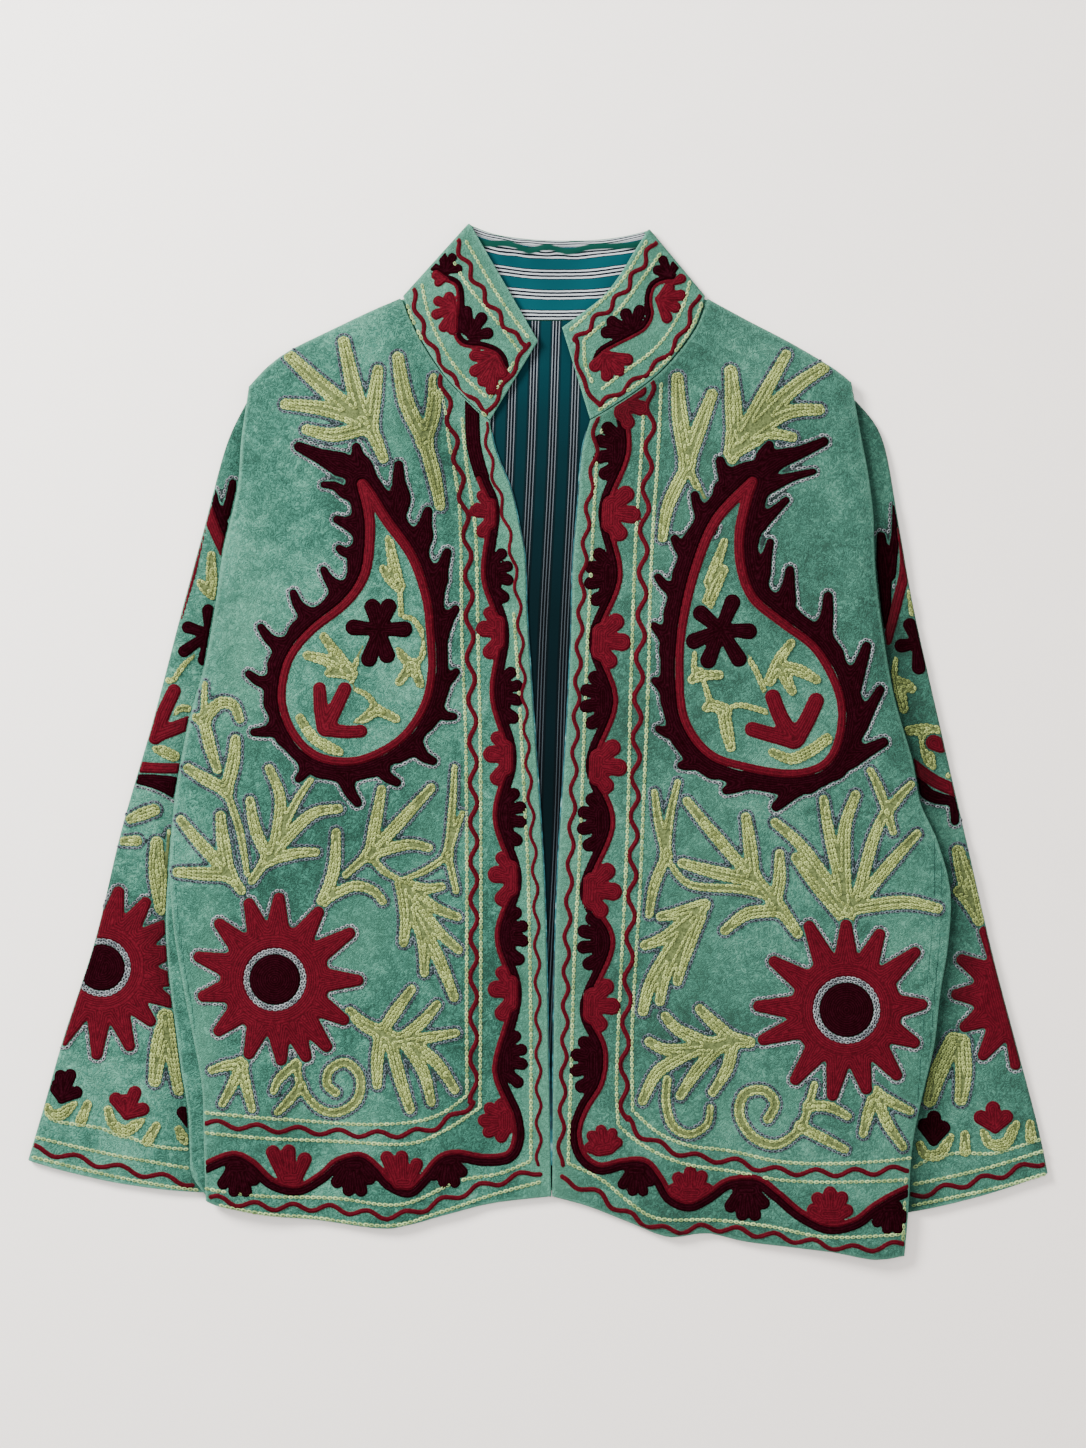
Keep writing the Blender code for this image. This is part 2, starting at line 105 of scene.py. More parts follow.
# Side seams of the fronts, from the hem to the shoulder point: x, y
SEAM_RIGHT = [
    (-231.5, -320.5), (-232.8, -285), (-233.6, -250), (-235.6, -231), (-246, -178), (-253, -138),
    (-255.6, -112), (-256.6, -88.2), (-252.4, -39.2), (-242.6, 14), (-231.4, 53.9), (-224.4, 93.1),
    (-218.8, 132.3), (-209.2, 175), (-206.4, 211), (-201.6, 247),
]
SEAM_LEFT = [
    (255.5, -359.1), (258, -328.3), (260.8, -283.5), (267.8, -247.8), (276.2, -212.1), (280.4, -176.4),
    (286, -140.7), (287.3, -104), (278.3, -69.3), (266.4, -42.7), (260.8, -12.6), (247.5, 34.3),
    (238.4, 90.3), (234.9, 123.2), (233.7, 157.5), (230.2, 186), (225.1, 213), (218.4, 249.9),
]
# Hems of the fronts, from the side to the front edge: x, y
HEM_RIGHT = [
    (-231.5, -320.5), (-222.6, -324), (-187.6, -331.1), (-153.3, -334.6), (-109.9, -340.2), (-88, -337.4),
    (-65.8, -331.1), (-31.5, -322.7), (9.3, -318),
]
HEM_LEFT = [
    (255.5, -359.1), (233.8, -361.2), (206.5, -356.3), (179.9, -353.5), (144.2, -349.3), (117.6, -343.7),
    (91, -346), (63.7, -336), (37.1, -325.5), (9.9, -318),
]
# Front edges, from the hem to the neck seam: x, y
EDGE_RIGHT = [
    (9.3, -318), (7, -204.4), (4.2, -97.3), (-2, 0), (-7.7, 86.1), (-9.1, 127.4), (-13.3, 151.2),
    (-18.9, 175.7), (-29.6, 203), (-33.9, 223.4),
]
EDGE_LEFT = [
    (9.9, -318), (10.7, -228.2), (12.1, -143.5), (14.9, -72.1), (19.6, -0.7), (23.1, 70.7), (24.5, 123.2),
    (28, 165.9), (31, 203), (36.8, 224.1),
]
# Neck seams of the fronts, from the front edge to the neck point, and of the back: x, y
NECK_RIGHT = [
    (-33.6, 224), (-39.2, 228.9), (-51.1, 240.1), (-63.7, 253.4), (-72.8, 266), (-81.2, 280),
    (-88.2, 294.7), (-93.8, 310),
]
NECK_LEFT = [
    (36.4, 224.7), (46.2, 230.3), (67.9, 244.3), (84.7, 257.6), (99.4, 274.4), (111, 291.9), (116.2, 310),
]
NECK_BACK = [(-93.8, 310), (-60, 301.5), (-22, 295), (14.7, 294), (50, 295.5), (84, 302), (116.2, 310)]
# Free top edge of the collar: x, y
COLLAR_TOP_RIGHT = [(0, 279), (-16.8, 308), (-33.6, 337), (-47.6, 361)]
COLLAR_TOP_BACK = [(-47.6, 361), (-30, 354.5), (-6, 351), (14.7, 350), (40, 350.5), (60, 353), (77, 357)]
COLLAR_TOP_LEFT = [(16.8, 288.4), (32.2, 299.5), (46.2, 311), (57.4, 325.5), (66.3, 340), (77, 357)]
# Sleeves from the armhole to the cuff: outer x and y, inner x and y
SLEEVE_RIGHT = [
    (-203, 238, -135, 190), (-217.7, 207, -124, 158), (-233.1, 149.8, -114, 104), (-249.9, 87.5, -112, 50),
    (-269.5, 12.6, -128, -25), (-291.2, -62.3, -150, -100), (-309.4, -138.6, -175, -172),
    (-331.8, -207.9, -200, -238), (-345.8, -257, -216, -285), (-356.3, -292.6, -224, -315.5),
]
SLEEVE_LEFT = [
    (222, 238, 150, 195), (240.8, 210.7, 138, 164), (252.5, 149, 126, 108), (263.2, 89.6, 122, 55),
    (284.2, -3.5, 142, -38), (300, -72, 160, -108), (317.1, -146.3, 182, -182), (332.5, -205.1, 200, -244),
    (348.6, -266, 216, -300), (356.3, -301.7, 222, -334),
]
# Soft rises of the whole body: start x and y, end x and y, half width, height
SWELLS = [
    (-108, -352, -98, -170, 48, 3.6), (90, -356, 96, -190, 38, 3.2), (228, -372, 214, -210, 42, 2.6),
    (-128, 205, -140, -40, 55, 2.8), (138, 205, 150, -40, 58, 2.8),
]
# Folds of the fronts alone: start x and y, end x and y, half width, height
FOLDS = [
    (-214, 190, -226, 40, 12, 1.2), (-70, 150, -78, -90, 26, 1.2), (-180, -120, -196, -300, 24, 1.5),
    (-52, -180, -60, -330, 22, 1.5), (212, 178, 236, 140, 11, 1.4), (70, 120, 74, -110, 26, 1.1),
    (252, -90, 240, -320, 20, 1.4), (150, -180, 158, -345, 26, 1.6), (46, -170, 48, -325, 18, 1.2),
]
# Creases too small for the solids, low in the middle where the height is negative:
# start x and y, end x and y, half width, height
FRONT_CREASES = [
    (-207, 158, -229, 52, 3, -0.9), (-201, 168, -222, 60, 5, 0.7), (214, 244, 224, 160, 3.5, 0.8),
    (202, 170, 228, 118, 4, 0.8), (196, 176, 222, 124, 4, -0.6), (-192, 232, -168, 214, 7, 0.5),
    (-60, 212, -50, 120, 9, 0.7), (88, 214, 80, 120, 10, 0.6), (-236, -20, -214, -60, 8, 0.5),
    (232, 28, 206, -14, 8, 0.6), (-150, -250, -120, -330, 10, 0.6), (186, -262, 200, -348, 9, 0.6),
    (20, -120, 26, -300, 7, 0.4), (-14, -60, -8, -290, 7, 0.4),
]
# Creases of the sleeves: how far from the body they start, over what distance they grow, and how strong
# the uneven lie of the cloth is beside that of the fronts
SLEEVE_CREASES_FROM = 3.0
SLEEVE_CREASES_FADE = 14.0
SLEEVE_COCKLE = 1.3
SLEEVE_CREASES = [
    (-236, 168, -262, 60, 7, 1.2), (-262, 40, -296, -60, 9, 1.4), (-272, -30, -262, -92, 6, 1),
    (-316, -120, -282, -160, 8, 1.1), (-332, -190, -300, -280, 10, 1.2), (244, 196, 256, 110, 7, 1.2),
    (266, 66, 282, -20, 8, 1.3), (296, -60, 304, -150, 9, 1.4), (322, -150, 300, -200, 7, 1),
    (340, -230, 312, -300, 9, 1.2),
]

# Spacing of the panels' meshes
FRONT_SPACING = 4.0
BACK_SPACING = 5.5
SLEEVE_SPACING = 5.0
SLEEVE_INNER_EVERY = 6
SLEEVE_END_STEPS = 7
COLLAR_SPACING = 2.2
LINING_SPACING = 4.5
# How far a panel's rounded edge reaches in, the place of the first points in it, and the share of the wall
# that is left at the very edge
EDGE_ROUND = 1.6
EDGE_FIRST = 0.35
EDGE_WALL = 0.45
# How far from the front edge the nap is drawn paler, as wear and painted highlight
WORN_REACH = 34.0
# Creases of the fronts: how far in from the rim they are whole, how deep they may go, and how much of their
# rise the underside takes part in
CREASE_INSET = 9.0
DEEPEST_CREASE = -0.9
UNDERSIDE_SHARE = 0.4


# Curves in the plan


def spline(points, steps=10):
    """A smooth curve through the points, with its tangents set by the neighbours."""
    given = np.asarray(points, float)
    padded = np.vstack([given[:1], given, given[-1:]])
    before, start, end, after = padded[:-3], padded[1:-2], padded[2:-1], padded[3:]
    curve = []
    for step in range(steps):
        t = step / steps
        third = 2 * before - 5 * start + 4 * end - after + t * (3 * start - before - 3 * end + after)
        curve.append(start + 0.5 * t * (end - before + t * third))
    joined = np.stack(curve, axis=1).reshape(-1, given.shape[1])
    return np.vstack([joined, given[-1:]])


def lengths_along(curve):
    return np.concatenate([[0.0], np.cumsum(np.linalg.norm(np.diff(curve[:, :2], axis=0), axis=1))])


def points_at(curve, marks, lengths):
    """Points of a curve at the given lengths. marks are the lengths at the curve's own points."""
    return np.stack([np.interp(lengths, marks, column) for column in curve.T], axis=1)


def at_shares(points, shares):
    """Points at the given shares of the smooth curve's length."""
    curve = spline(points)
    marks = lengths_along(curve)
    return points_at(curve, marks, np.asarray(shares) * marks[-1])


def length_of(points):
    return lengths_along(spline(points))[-1]


def even(points, count):
    return at_shares(points, np.linspace(0, 1, count + 1))


def leftward(tangent):
    """Steps of length 1 to the left of each direction."""
    unit = tangent / np.linalg.norm(tangent, axis=1)[:, None]
    return np.stack([-unit[:, 1], unit[:, 0]], axis=1)


def moved_out(points, distance, last_distance=None):
    """The line of points, moved sideways to its left, by a distance that may change towards its end."""
    points = np.asarray(points, float)
    tangent = np.empty_like(points)
    tangent[1:-1] = points[2:] - points[:-2]
    tangent[0], tangent[-1] = points[1] - points[0], points[-1] - points[-2]
    distances = np.full(len(points), float(distance))
    if last_distance is not None:
        distances += (last_distance - distance) * np.linspace(0, 1, len(points)) ** 2
    return points + leftward(tangent) * distances[:, None]


def ease(value):
    """Rises smoothly from 0 at 0 to 1 at 1."""
    value = np.clip(value, 0.0, 1.0)
    return value * value * (3 - 2 * value)


def arc(share):
    """Rises like a quarter of a circle, from 0 at 0 to 1 at 1."""
    return np.sqrt(np.clip(1 - (1 - np.clip(share, 0, 1)) ** 2, 0, 1))


def edge_shares(length):
    """The first shares of a length, close together for a rounded edge."""
    return np.array([0.0, EDGE_ROUND * EDGE_FIRST / length, EDGE_ROUND / length])


def shares_for(length, spacing):
    """Shares of a length about a spacing apart, and closer at both ends."""
    count = max(2, round(length / spacing))
    inner = np.linspace(0, 1, count + 1)[1:-1]
    close = edge_shares(length)
    return np.concatenate([close, inner, 1 - close[::-1]])


def patch(bottom, top, start_side, end_side, u, v):
    """Plan points between four edges, whose ends meet at the corners, as an array of rows."""
    u, v = u[None, :, None], v[:, None, None]
    across = start_side[:, None] * (1 - u) + end_side[:, None] * u
    along = bottom[None] * (1 - v) + top[None] * v
    corner = (bottom[0] * (1 - u) + bottom[-1] * u) * (1 - v) + (top[0] * (1 - u) + top[-1] * u) * v
    return across + along - corner


# Heights over the plan


def distance_to_line(x, y, ax, ay, bx, by):
    """How far each point is from a straight stretch, and how far along it lies, from 0 to 1."""
    length = max((bx - ax) ** 2 + (by - ay) ** 2, 1e-9)
    share = np.clip(((x - ax) * (bx - ax) + (y - ay) * (by - ay)) / length, 0.0, 1.0)
    return np.hypot(x - ax - share * (bx - ax), y - ay - share * (by - ay)), share


def distance_to_path(x, y, path):
    nearest = np.full(np.shape(x), np.inf)
    for (ax, ay), (bx, by) in zip(path, path[1:]):
        nearest = np.minimum(nearest, distance_to_line(x, y, ax, ay, bx, by)[0])
    return nearest


def inside(x, y, outline):
    crossings = np.zeros(np.shape(x), int)
    for (ax, ay), (bx, by) in zip(outline, list(outline[1:]) + [outline[0]]):
        if ay != by:
            spans = (ay > y) != (by > y)
            crossings += spans & (x < ax + (bx - ax) * (y - ay) / (by - ay))
    return crossings % 2 == 1


def signed_distance(x, y, outline):
    """Distance to a closed outline, negative inside it."""
    closed = list(outline) + [outline[0]]
    return distance_to_path(x, y, closed) * np.where(inside(x, y, outline), -1.0, 1.0)


def blobs_at(x, y, blobs, sign):
    """Soft patches from a table: x, y, length, breadth, turn in degrees, strength. sign 1 takes the dark
    ones, which have a strength above 0, and sign -1 the light ones."""
    total = np.zeros(np.shape(x))
    for middle_x, middle_y, length, breadth, turn, strength in blobs:
        cosine, sine = math.cos(math.radians(turn)), math.sin(math.radians(turn))
        along = ((x - middle_x) * cosine + (y - middle_y) * sine) / length
        across = ((y - middle_y) * cosine - (x - middle_x) * sine) / breadth
        total += max(strength * sign, 0.0) * np.exp(-along ** 2 - across ** 2)
    return np.clip(total, 0, 1)


# Painted shade (above 0) and painted light (below 0) on each front, in folds, beside raised edges and under
# the collar: x, y, length, breadth, turn in degrees, strength
RIGHT_PAINTED_SHADE_AND_LIGHT = [
    (-70, 205, 75, 15, 105, 0.5), (-232, -200, 95, 13, 88, -0.5), (-125, -135, 42, 26, 60, -0.35),
    (-205, 60, 70, 18, 85, -0.45), (-110, 215, 40, 24, 20, -0.25), (-75, -60, 120, 14, 90, -0.2),
    (-232, 130, 90, 10, 100, 0.3), (-150, -262, 60, 12, 0, -0.3),
]
LEFT_PAINTED_SHADE_AND_LIGHT = [
    (72, 240, 50, 11, 38, 0.45), (243, 80, 130, 13, 98, 0.3), (252, -270, 55, 14, 85, -0.35),
    (112, -110, 60, 18, 80, -0.3), (150, -255, 40, 16, 10, -0.3), (100, 160, 50, 14, 60, -0.2),
    (255, -120, 60, 10, 88, -0.25), (175, 225, 50, 16, -20, 0.25),
]


def no_painted_shade(x, y):
    return np.zeros(np.shape(x))


def sleeve_outline(rows, cuff=()):
    return [row[:2] for row in rows] + list(cuff) + [row[2:] for row in reversed(rows)]


SLEEVE_OUTLINES = [sleeve_outline(SLEEVE_RIGHT), sleeve_outline(SLEEVE_LEFT)]


def bowed_outline(rows):
    """A sleeve's outline with its cuff bowed out, as it is made."""
    outer_x, outer_y, inner_x, inner_y = rows[-1]
    cuff = []
    for share in CUFF_PLACES:
        bow = CUFF_BOW * (1 - (2 * share - 1) ** 2)
        cuff.append((outer_x + (inner_x - outer_x) * share, outer_y + (inner_y - outer_y) * share - bow))
    return sleeve_outline(rows, cuff)


def sleeve_rise(x, y):
    """How high the back lies over the sleeve under it."""
    nearest = np.full(np.shape(x), np.inf)
    for outline in SLEEVE_OUTLINES:
        nearest = np.minimum(nearest, np.maximum(signed_distance(x, y, outline), 0.0))
    return (SLEEVE_HEIGHT + SEAM_GAP) * ease(1 - (nearest - SLEEVE_MARGIN) / SLEEVE_SLOPE)


def rises(x, y, table, strength):
    """The sum of a table's rounded rises. strength says how strong each is along its length."""
    height = np.zeros(np.shape(x))
    for ax, ay, bx, by, half_width, rise in table:
        away, share = distance_to_line(x, y, ax, ay, bx, by)
        height += rise * strength(share) * np.clip(1 - (away / half_width) ** 2, 0, None) ** 2
    return height


def ridges(x, y, table):
    """Rises that grow over the first half of their length."""
    return rises(x, y, table, lambda share: RIDGE_START + (1 - RIDGE_START) * ease(share * 2))


def creases(x, y, table):
    """Small rises that fade out at both of their ends."""
    return rises(x, y, table, lambda share: np.sin(math.pi * share))


def back_under(x, y):
    return sleeve_rise(x, y) + ridges(x, y, SWELLS)


def front_under(x, y, closed_edge):
    """The front lies on the back along its seams, and rides a little over the lining inside them."""
    free = ease(distance_to_path(x, y, closed_edge) / PANEL_AIR_REACH)
    climb = sleeve_rise(x, y) / (SLEEVE_HEIGHT + SEAM_GAP)
    gap = SEAM_GAP + CLIMB_GAP * 4 * climb * (1 - climb)
    return back_under(x, y) + BACK_WALL + gap + free * (PANEL_AIR + ridges(x, y, FOLDS))


# Waves of the cloth between the creases: wave lengths in x and y, phase, height
COCKLES = [
    (61, 143, 0.4, 0.26), (-47, 88, 2.1, 0.22), (38, -71, 4, 0.16), (112, 53, 1.2, 0.2),
    (-29, -44, 5.2, 0.09), (24, 33, 0.9, 0.07),
]


def cockle(x, y):
    """The slightly uneven lie of the cloth, never below 0."""
    height = np.zeros(np.shape(x))
    for wave_x, wave_y, phase, rise in COCKLES:
        height += rise * (1 + np.sin(2 * math.pi * (x / wave_x + y / wave_y) + phase)) / 2
    return height


# Cloth panels as closed shells


def mesh_object(name, vertices, faces, closed=False, attributes=None):
    """An object from points in millimetres, with one number for each point in every attribute."""
    mesh = bpy.data.meshes.new(name)
    mesh.from_pydata([], [], [])
    mesh.vertices.add(len(vertices))
    mesh.vertices.foreach_set("co", (np.asarray(vertices) * MM).astype(np.float32).ravel())
    sizes = np.array([len(face) for face in faces], dtype=np.int32)
    mesh.loops.add(int(sizes.sum()))
    mesh.loops.foreach_set("vertex_index", np.concatenate([np.asarray(f, np.int32) for f in faces]))
    mesh.polygons.add(len(faces))
    starts = np.concatenate([[0], np.cumsum(sizes)[:-1]]).astype(np.int32)
    mesh.polygons.foreach_set("loop_start", starts)
    mesh.update(calc_edges=True)
    mesh.validate()
    if closed:
        whole = bmesh.new()
        whole.from_mesh(mesh)
        bmesh.ops.recalc_face_normals(whole, faces=whole.faces)
        whole.to_mesh(mesh)
        whole.free()
    elif sum(polygon.normal.z for polygon in mesh.polygons) < 0:
        mesh.flip_normals()
    for key, values in (attributes or {}).items():
        mesh.attributes.new(key, "FLOAT", "POINT")
        mesh.attributes[key].data.foreach_set("value", np.asarray(values, np.float32))
    mesh.shade_smooth()
    obj = bpy.data.objects.new(name, mesh)
    bpy.context.scene.collection.objects.link(obj)
    return obj


def numbered(rows, columns):
    """Vertex numbers of a grid."""
    return np.arange(rows * columns).reshape(rows, columns)


def grid_faces(index):
    """Quads of a grid of vertex numbers."""
    corners = [index[:-1, :-1], index[:-1, 1:], index[1:, 1:], index[1:, :-1]]
    return np.stack(corners, axis=-1).reshape(-1, 4)


def ring_faces(index, axis):
    """Quads between the rings of vertex numbers that run along an axis of a grid."""
    low, high = (index, np.roll(index, -1, 0)) if axis else (index[:-1], index[1:])
    return np.stack([low, np.roll(low, -1, 1), np.roll(high, -1, 1), high], axis=-1).reshape(-1, 4)


def border_of(index):
    """Vertex numbers round a grid, once round."""
    return np.concatenate([index[0, :-1], index[:-1, -1], index[-1, :0:-1], index[:0:-1, 0]])


def shell(name, plan, under, over, attributes):
    """A closed wall between two heights over the same plan points."""
    return closed_shell(name, np.dstack([plan, over]), np.dstack([plan, under]), attributes)


def closed_shell(name, over, under, attributes):
    """A closed wall between two grids of points."""
    top = numbered(*over.shape[:2])
    low = top + top.size
    points = np.concatenate([over.reshape(-1, 3), under.reshape(-1, 3)])
    rim_top, rim_low = border_of(top), border_of(low)
    rim = np.stack([rim_top, rim_low, np.roll(rim_low, -1), np.roll(rim_top, -1)], axis=1)
    faces = np.concatenate([grid_faces(top), grid_faces(low)[:, ::-1], rim])
    both = {key: np.tile(values.ravel(), 2) for key, values in attributes.items()}
    return mesh_object(name, points, faces, closed=True, attributes=both)


def edge_distance(plan):
    """How far each point of a panel is from the panel's rim."""
    rim = plan.reshape(-1, 2)[border_of(numbered(*plan.shape[:2]))]
    rim = np.vstack([rim, rim[:1]])[::3]
    return distance_to_path(plan[..., 0], plan[..., 1], [tuple(p) for p in rim])


def rounded(edge, wall):
    """Wall thickness that thins to a rounded lip at the rim."""
    return wall * (EDGE_WALL + (1 - EDGE_WALL) * arc(edge / EDGE_ROUND))


def make_front(name, hem, side, shoulder, neck, edge, outward, wear, blobs):
    """outward is 1 where the neck seam's outer side is to its left, and -1 where it is to its right."""
    neck_line = moved_out(even(neck, FRONT_NECK_PARTS), outward * SEAM_GAP, outward * NECK_POINT_GAP)[::-1]
    u = shares_for(length_of(hem), FRONT_SPACING)
    v = shares_for(length_of(side), FRONT_SPACING)
    on_shoulder = u < FRONT_SHOULDER_SHARE
    shoulder_line = at_shares(shoulder[:-1] + [tuple(neck_line[0])], u[on_shoulder] / FRONT_SHOULDER_SHARE)
    along_neck = (u[~on_shoulder] - FRONT_SHOULDER_SHARE) / (1 - FRONT_SHOULDER_SHARE)
    top = np.vstack([shoulder_line, at_shares(neck_line, along_neck)])
    end_side = at_shares(edge[:-1] + [tuple(top[-1])], v)
    plan = patch(at_shares(hem, u), top, at_shares(side, v), end_side, u, v)
    x, y = plan[..., 0], plan[..., 1]
    closed_edge = side + shoulder[1:-1] + [tuple(neck_line[0])]
    under = front_under(x, y, closed_edge)
    near = edge_distance(plan)
    free = ease(near / CREASE_INSET)
    lift = free * (cockle(x, y) + np.clip(creases(x, y, FRONT_CREASES), DEEPEST_CREASE, None))
    over = under + rounded(near, FRONT_WALL) + lift
    worn = wear * (1 - ease(distance_to_path(x, y, edge) / WORN_REACH))
    # The last two attributes are painted shade and painted light on the cloth
    obj = shell(name, plan, under + UNDERSIDE_SHARE * free * np.clip(lift, 0, None), over, {
        "edge": near, "worn": worn, "dim": blobs_at(x, y, blobs, 1), "glow": blobs_at(x, y, blobs, -1),
    })
    border = plan.reshape(-1, 2)[border_of(numbered(*plan.shape[:2]))]
    return obj, [tuple(p) for p in border[::2]]


def make_back():
    neck = moved_out(even(NECK_BACK, BACK_NECK_PARTS), -SEAM_GAP)
    hem_line = HEM_RIGHT[1:-1] + [(9.6, -318.0)] + HEM_LEFT[-2:0:-1]
    hem = [SIDE_RIGHT[0]] + [(x, y + HEM_SETBACK) for x, y in hem_line] + [SIDE_LEFT[0]]
    u = shares_for(length_of(hem), BACK_SPACING)
    v = shares_for(length_of(SIDE_RIGHT), BACK_SPACING)
    start, end = BACK_SHOULDER_SHARE, 1 - BACK_SHOULDER_SHARE
    first, last = u < start, u > end
    middle = ~first & ~last
    top = np.vstack([
        at_shares(SHOULDER_RIGHT[:-1] + [tuple(neck[0])], u[first] / start),
        at_shares(neck, (u[middle] - start) / (end - start)),
        at_shares([tuple(neck[-1])] + SHOULDER_LEFT[-2::-1], (u[last] - end) / (1 - end)),
    ])
    plan = patch(at_shares(hem, u), top, at_shares(SIDE_RIGHT, v), at_shares(SIDE_LEFT, v), u, v)
    x, y = plan[..., 0], plan[..., 1]
    under = back_under(x, y)
    near = edge_distance(plan)
    return shell("back_velvet", plan, under, under + rounded(near, BACK_WALL), {"edge": near})


def make_sleeve(name, table, body_outline, dim):
    """A flattened tube, open at the armhole and at the cuff, with creases where it shows."""
    length = length_of([row[:2] for row in table])
    middle = table[len(table) // 2]
    width = math.dist(middle[:2], middle[2:])
    along = shares_for(length, SLEEVE_SPACING)
    rows = at_shares(table, along)
    flat_steps = round(width / SLEEVE_SPACING)
    offsets, heights = [], []
    for side in (1, -1):
        for step in range(SLEEVE_END_STEPS):
            angle = math.pi * (0.5 - step / SLEEVE_END_STEPS)
            offsets.append((side, math.cos(angle)))
            heights.append(side * math.sin(angle))
        for step in range(flat_steps):
            offsets.append((side * (1 - 2 * step / flat_steps), 0.0))
            heights.append(-side)
    reach_share = np.array([o[0] for o in offsets])
    bulge = np.array([o[1] for o in offsets]) * np.sign(reach_share)
    height = np.array(heights, float)
    half = SLEEVE_HEIGHT / 2
    inner_rows = np.unique(np.append(np.arange(0, len(rows), SLEEVE_INNER_EVERY), len(rows) - 1))
    rings, marks = [], []
    for inset, chosen in ((0.0, np.arange(len(rows))), (SLEEVE_WALL, inner_rows[::-1])):
        for r in chosen:
            ox, oy, ix, iy = rows[r]
            full = math.hypot(ix - ox, iy - oy)
            direction = np.array([ix - ox, iy - oy]) / full
            offset = reach_share * (full / 2 - half) + bulge * (half - inset)
            bow = CUFF_BOW * ease((along[r] - BOW_START) / BOW_RUN) * (1 - (offset / (full / 2)) ** 2)
            x = (ox + ix) / 2 + direction[0] * offset
            y = (oy + iy) / 2 + direction[1] * offset - bow
            z = half + height * (half - inset)
            if inset == 0:
                z = z + np.clip(height, 0, 1) * sleeve_crease(x, y, body_outline)
            rings.append(np.stack([x, y, z], axis=1))
            marks.append(min(along[r], 1 - along[r]) * length)
    points = np.vstack(rings)
    # The last attribute is painted shadow where the sleeve comes out from under the body
    return mesh_object(
        name, points, ring_faces(numbered(len(rings), len(height)), 1), closed=True,
        attributes={"edge": np.repeat(marks, len(height)), "dim": dim(points[:, 0], points[:, 1])},
    )


def sleeve_crease(x, y, body_outline):
    """Creases of the part of a sleeve that shows. They fade out where the body lies on it."""
    away = np.clip(signed_distance(x, y, body_outline), 0, None)
    shown = ease((away - SLEEVE_CREASES_FROM) / SLEEVE_CREASES_FADE)
    return shown * (creases(x, y, SLEEVE_CREASES) + SLEEVE_COCKLE * cockle(x, y))


# Collar and linings

COLLAR_FRONT_STEPS = 36
COLLAR_BACK_STEPS = 78
COLLAR_FOLD_STEPS = 12
COLLAR_HEIGHT = 66.0
FOLD_CLEAR = 5.0
# Equal parts that the solids divide the neck seams of the fronts and of the back lining into, and the back's
FRONT_NECK_PARTS = 8
BACK_NECK_PARTS = 14
# Uneven lie of the collar's front parts: its lowest height, blending, inset and share, and how much closer
# its waves are
UNEVEN_FROM_Z = 5.0
UNEVEN_BLEND = 0.6
UNEVEN_INSET = 12.0
UNEVEN_SHARE = 0.7
UNEVEN_CLOSER = 1.7
# How pale the collar is drawn all over, as wear and painted highlight
COLLAR_WEAR_AND_HIGHLIGHT = 0.6
# Collar lining: heights of its drawn-in band and of the whole of it above the neck seam
RUFFLE_HEIGHT = 52.0
COLLAR_LINING_RISE = 59.0
# Meshes of the collar lining along and across it
COLLAR_LINING_SPACING = (3.0, 1.8)
# Where puckers start, as a share of the height, and over what share they grow
PUCKER_START = 0.55
PUCKER_RUN = 0.3
# Each wave across x: step, sway, step of the sway
PUCKER_WAVE = (4.6, 2.2, 17.0)
CREST_WAVE = (6.0, 1.3, 19.0)
CREST_SWAY = 1.6
RUFFLE_HALF = 2.4
# How high puckers, billows and the drawn-in band rise, and how far in from the rim they are whole
PUCKER_LIFT = 0.6
BILLOW_LIFT = 0.7
RUFFLE_LIFT = 0.9
LINING_LIFT_INSET = 5.0
# The stripes over the drawn-in band: height where they start, the stripe there, and how close they are
TOP_STRIPES_FROM = 54.4
TOP_STRIPES_START = 45.0
TOP_STRIPES_CLOSER = 1.62
# Back lining: width for its mesh, inset and share of its uneven lie, and its stripes' tilt, start and sway
BACK_LINING_WIDTH = 110.0
BACK_LINING_INSET = 10.0
BACK_LINING_SHARE = 0.5
STRIPE_TILT = 0.042
STRIPE_START = 0.9
STRIPE_SWAY = (0.5, 41.0)
# Painted shade of the back lining between the fronts: y, strength
BACK_LINING_PAINTED_SHADE = [(-50.0, 1.0), (60.0, 0.95), (150.0, 0.8), (230.0, 0.4), (262.0, 0.1)]
# Lip of the lining: first and last share of the front edge, points, distance out, radius, sides
LIP_SHARES = (0.04, 0.985)
LIP_POINTS = 150
LIP_OUT = 0.3
LIP_RADIUS = 0.6
LIP_SIDES = 6


def lifted(neck, top, neck_z, top_z):
    """Pairs of plan points, at the neck seam and at the free edge, put at their heights."""
    return [(np.append(n, neck_z), np.append(t, top_z)) for n, t in zip(neck, top)]


def collar_front_sections(neck, top):
    length = length_of(neck)
    regular = np.linspace(EDGE_ROUND * 2, length - FOLD_CLEAR, COLLAR_FRONT_STEPS) / length
    shares = np.concatenate([edge_shares(length), regular])
    return lifted(at_shares(neck, shares), at_shares(top, shares), COLLAR_FRONT_NECK_Z, COLLAR_FRONT_TOP_Z)


def collar_fold(front, corner, back):
    """The half turn where the band folds over, from its front layer down to its back layer."""
    sections = []
    for step in range(COLLAR_FOLD_STEPS + 1):
        angle = math.pi * step / COLLAR_FOLD_STEPS
        neighbours = front if math.cos(angle) > 0 else back
        section = []
        for point, neighbour, high in zip(corner, neighbours, (COLLAR_FRONT_NECK_Z, COLLAR_FRONT_TOP_Z)):
            radius = (high - COLLAR_BACK_Z) / 2
            inward = radius * (1 - math.sin(angle)) / math.dist(point, neighbour)
            spot = np.asarray(point) * (1 - inward) + np.asarray(neighbour) * inward
            section.append(np.append(spot, COLLAR_BACK_Z + radius * (1 + math.cos(angle))))
        sections.append(tuple(section))
    return sections


def pair_at(neck, top, count, place):
    """The points of both lines at one of the places that the solids use."""
    return even(neck, count)[place], even(top, count)[place]


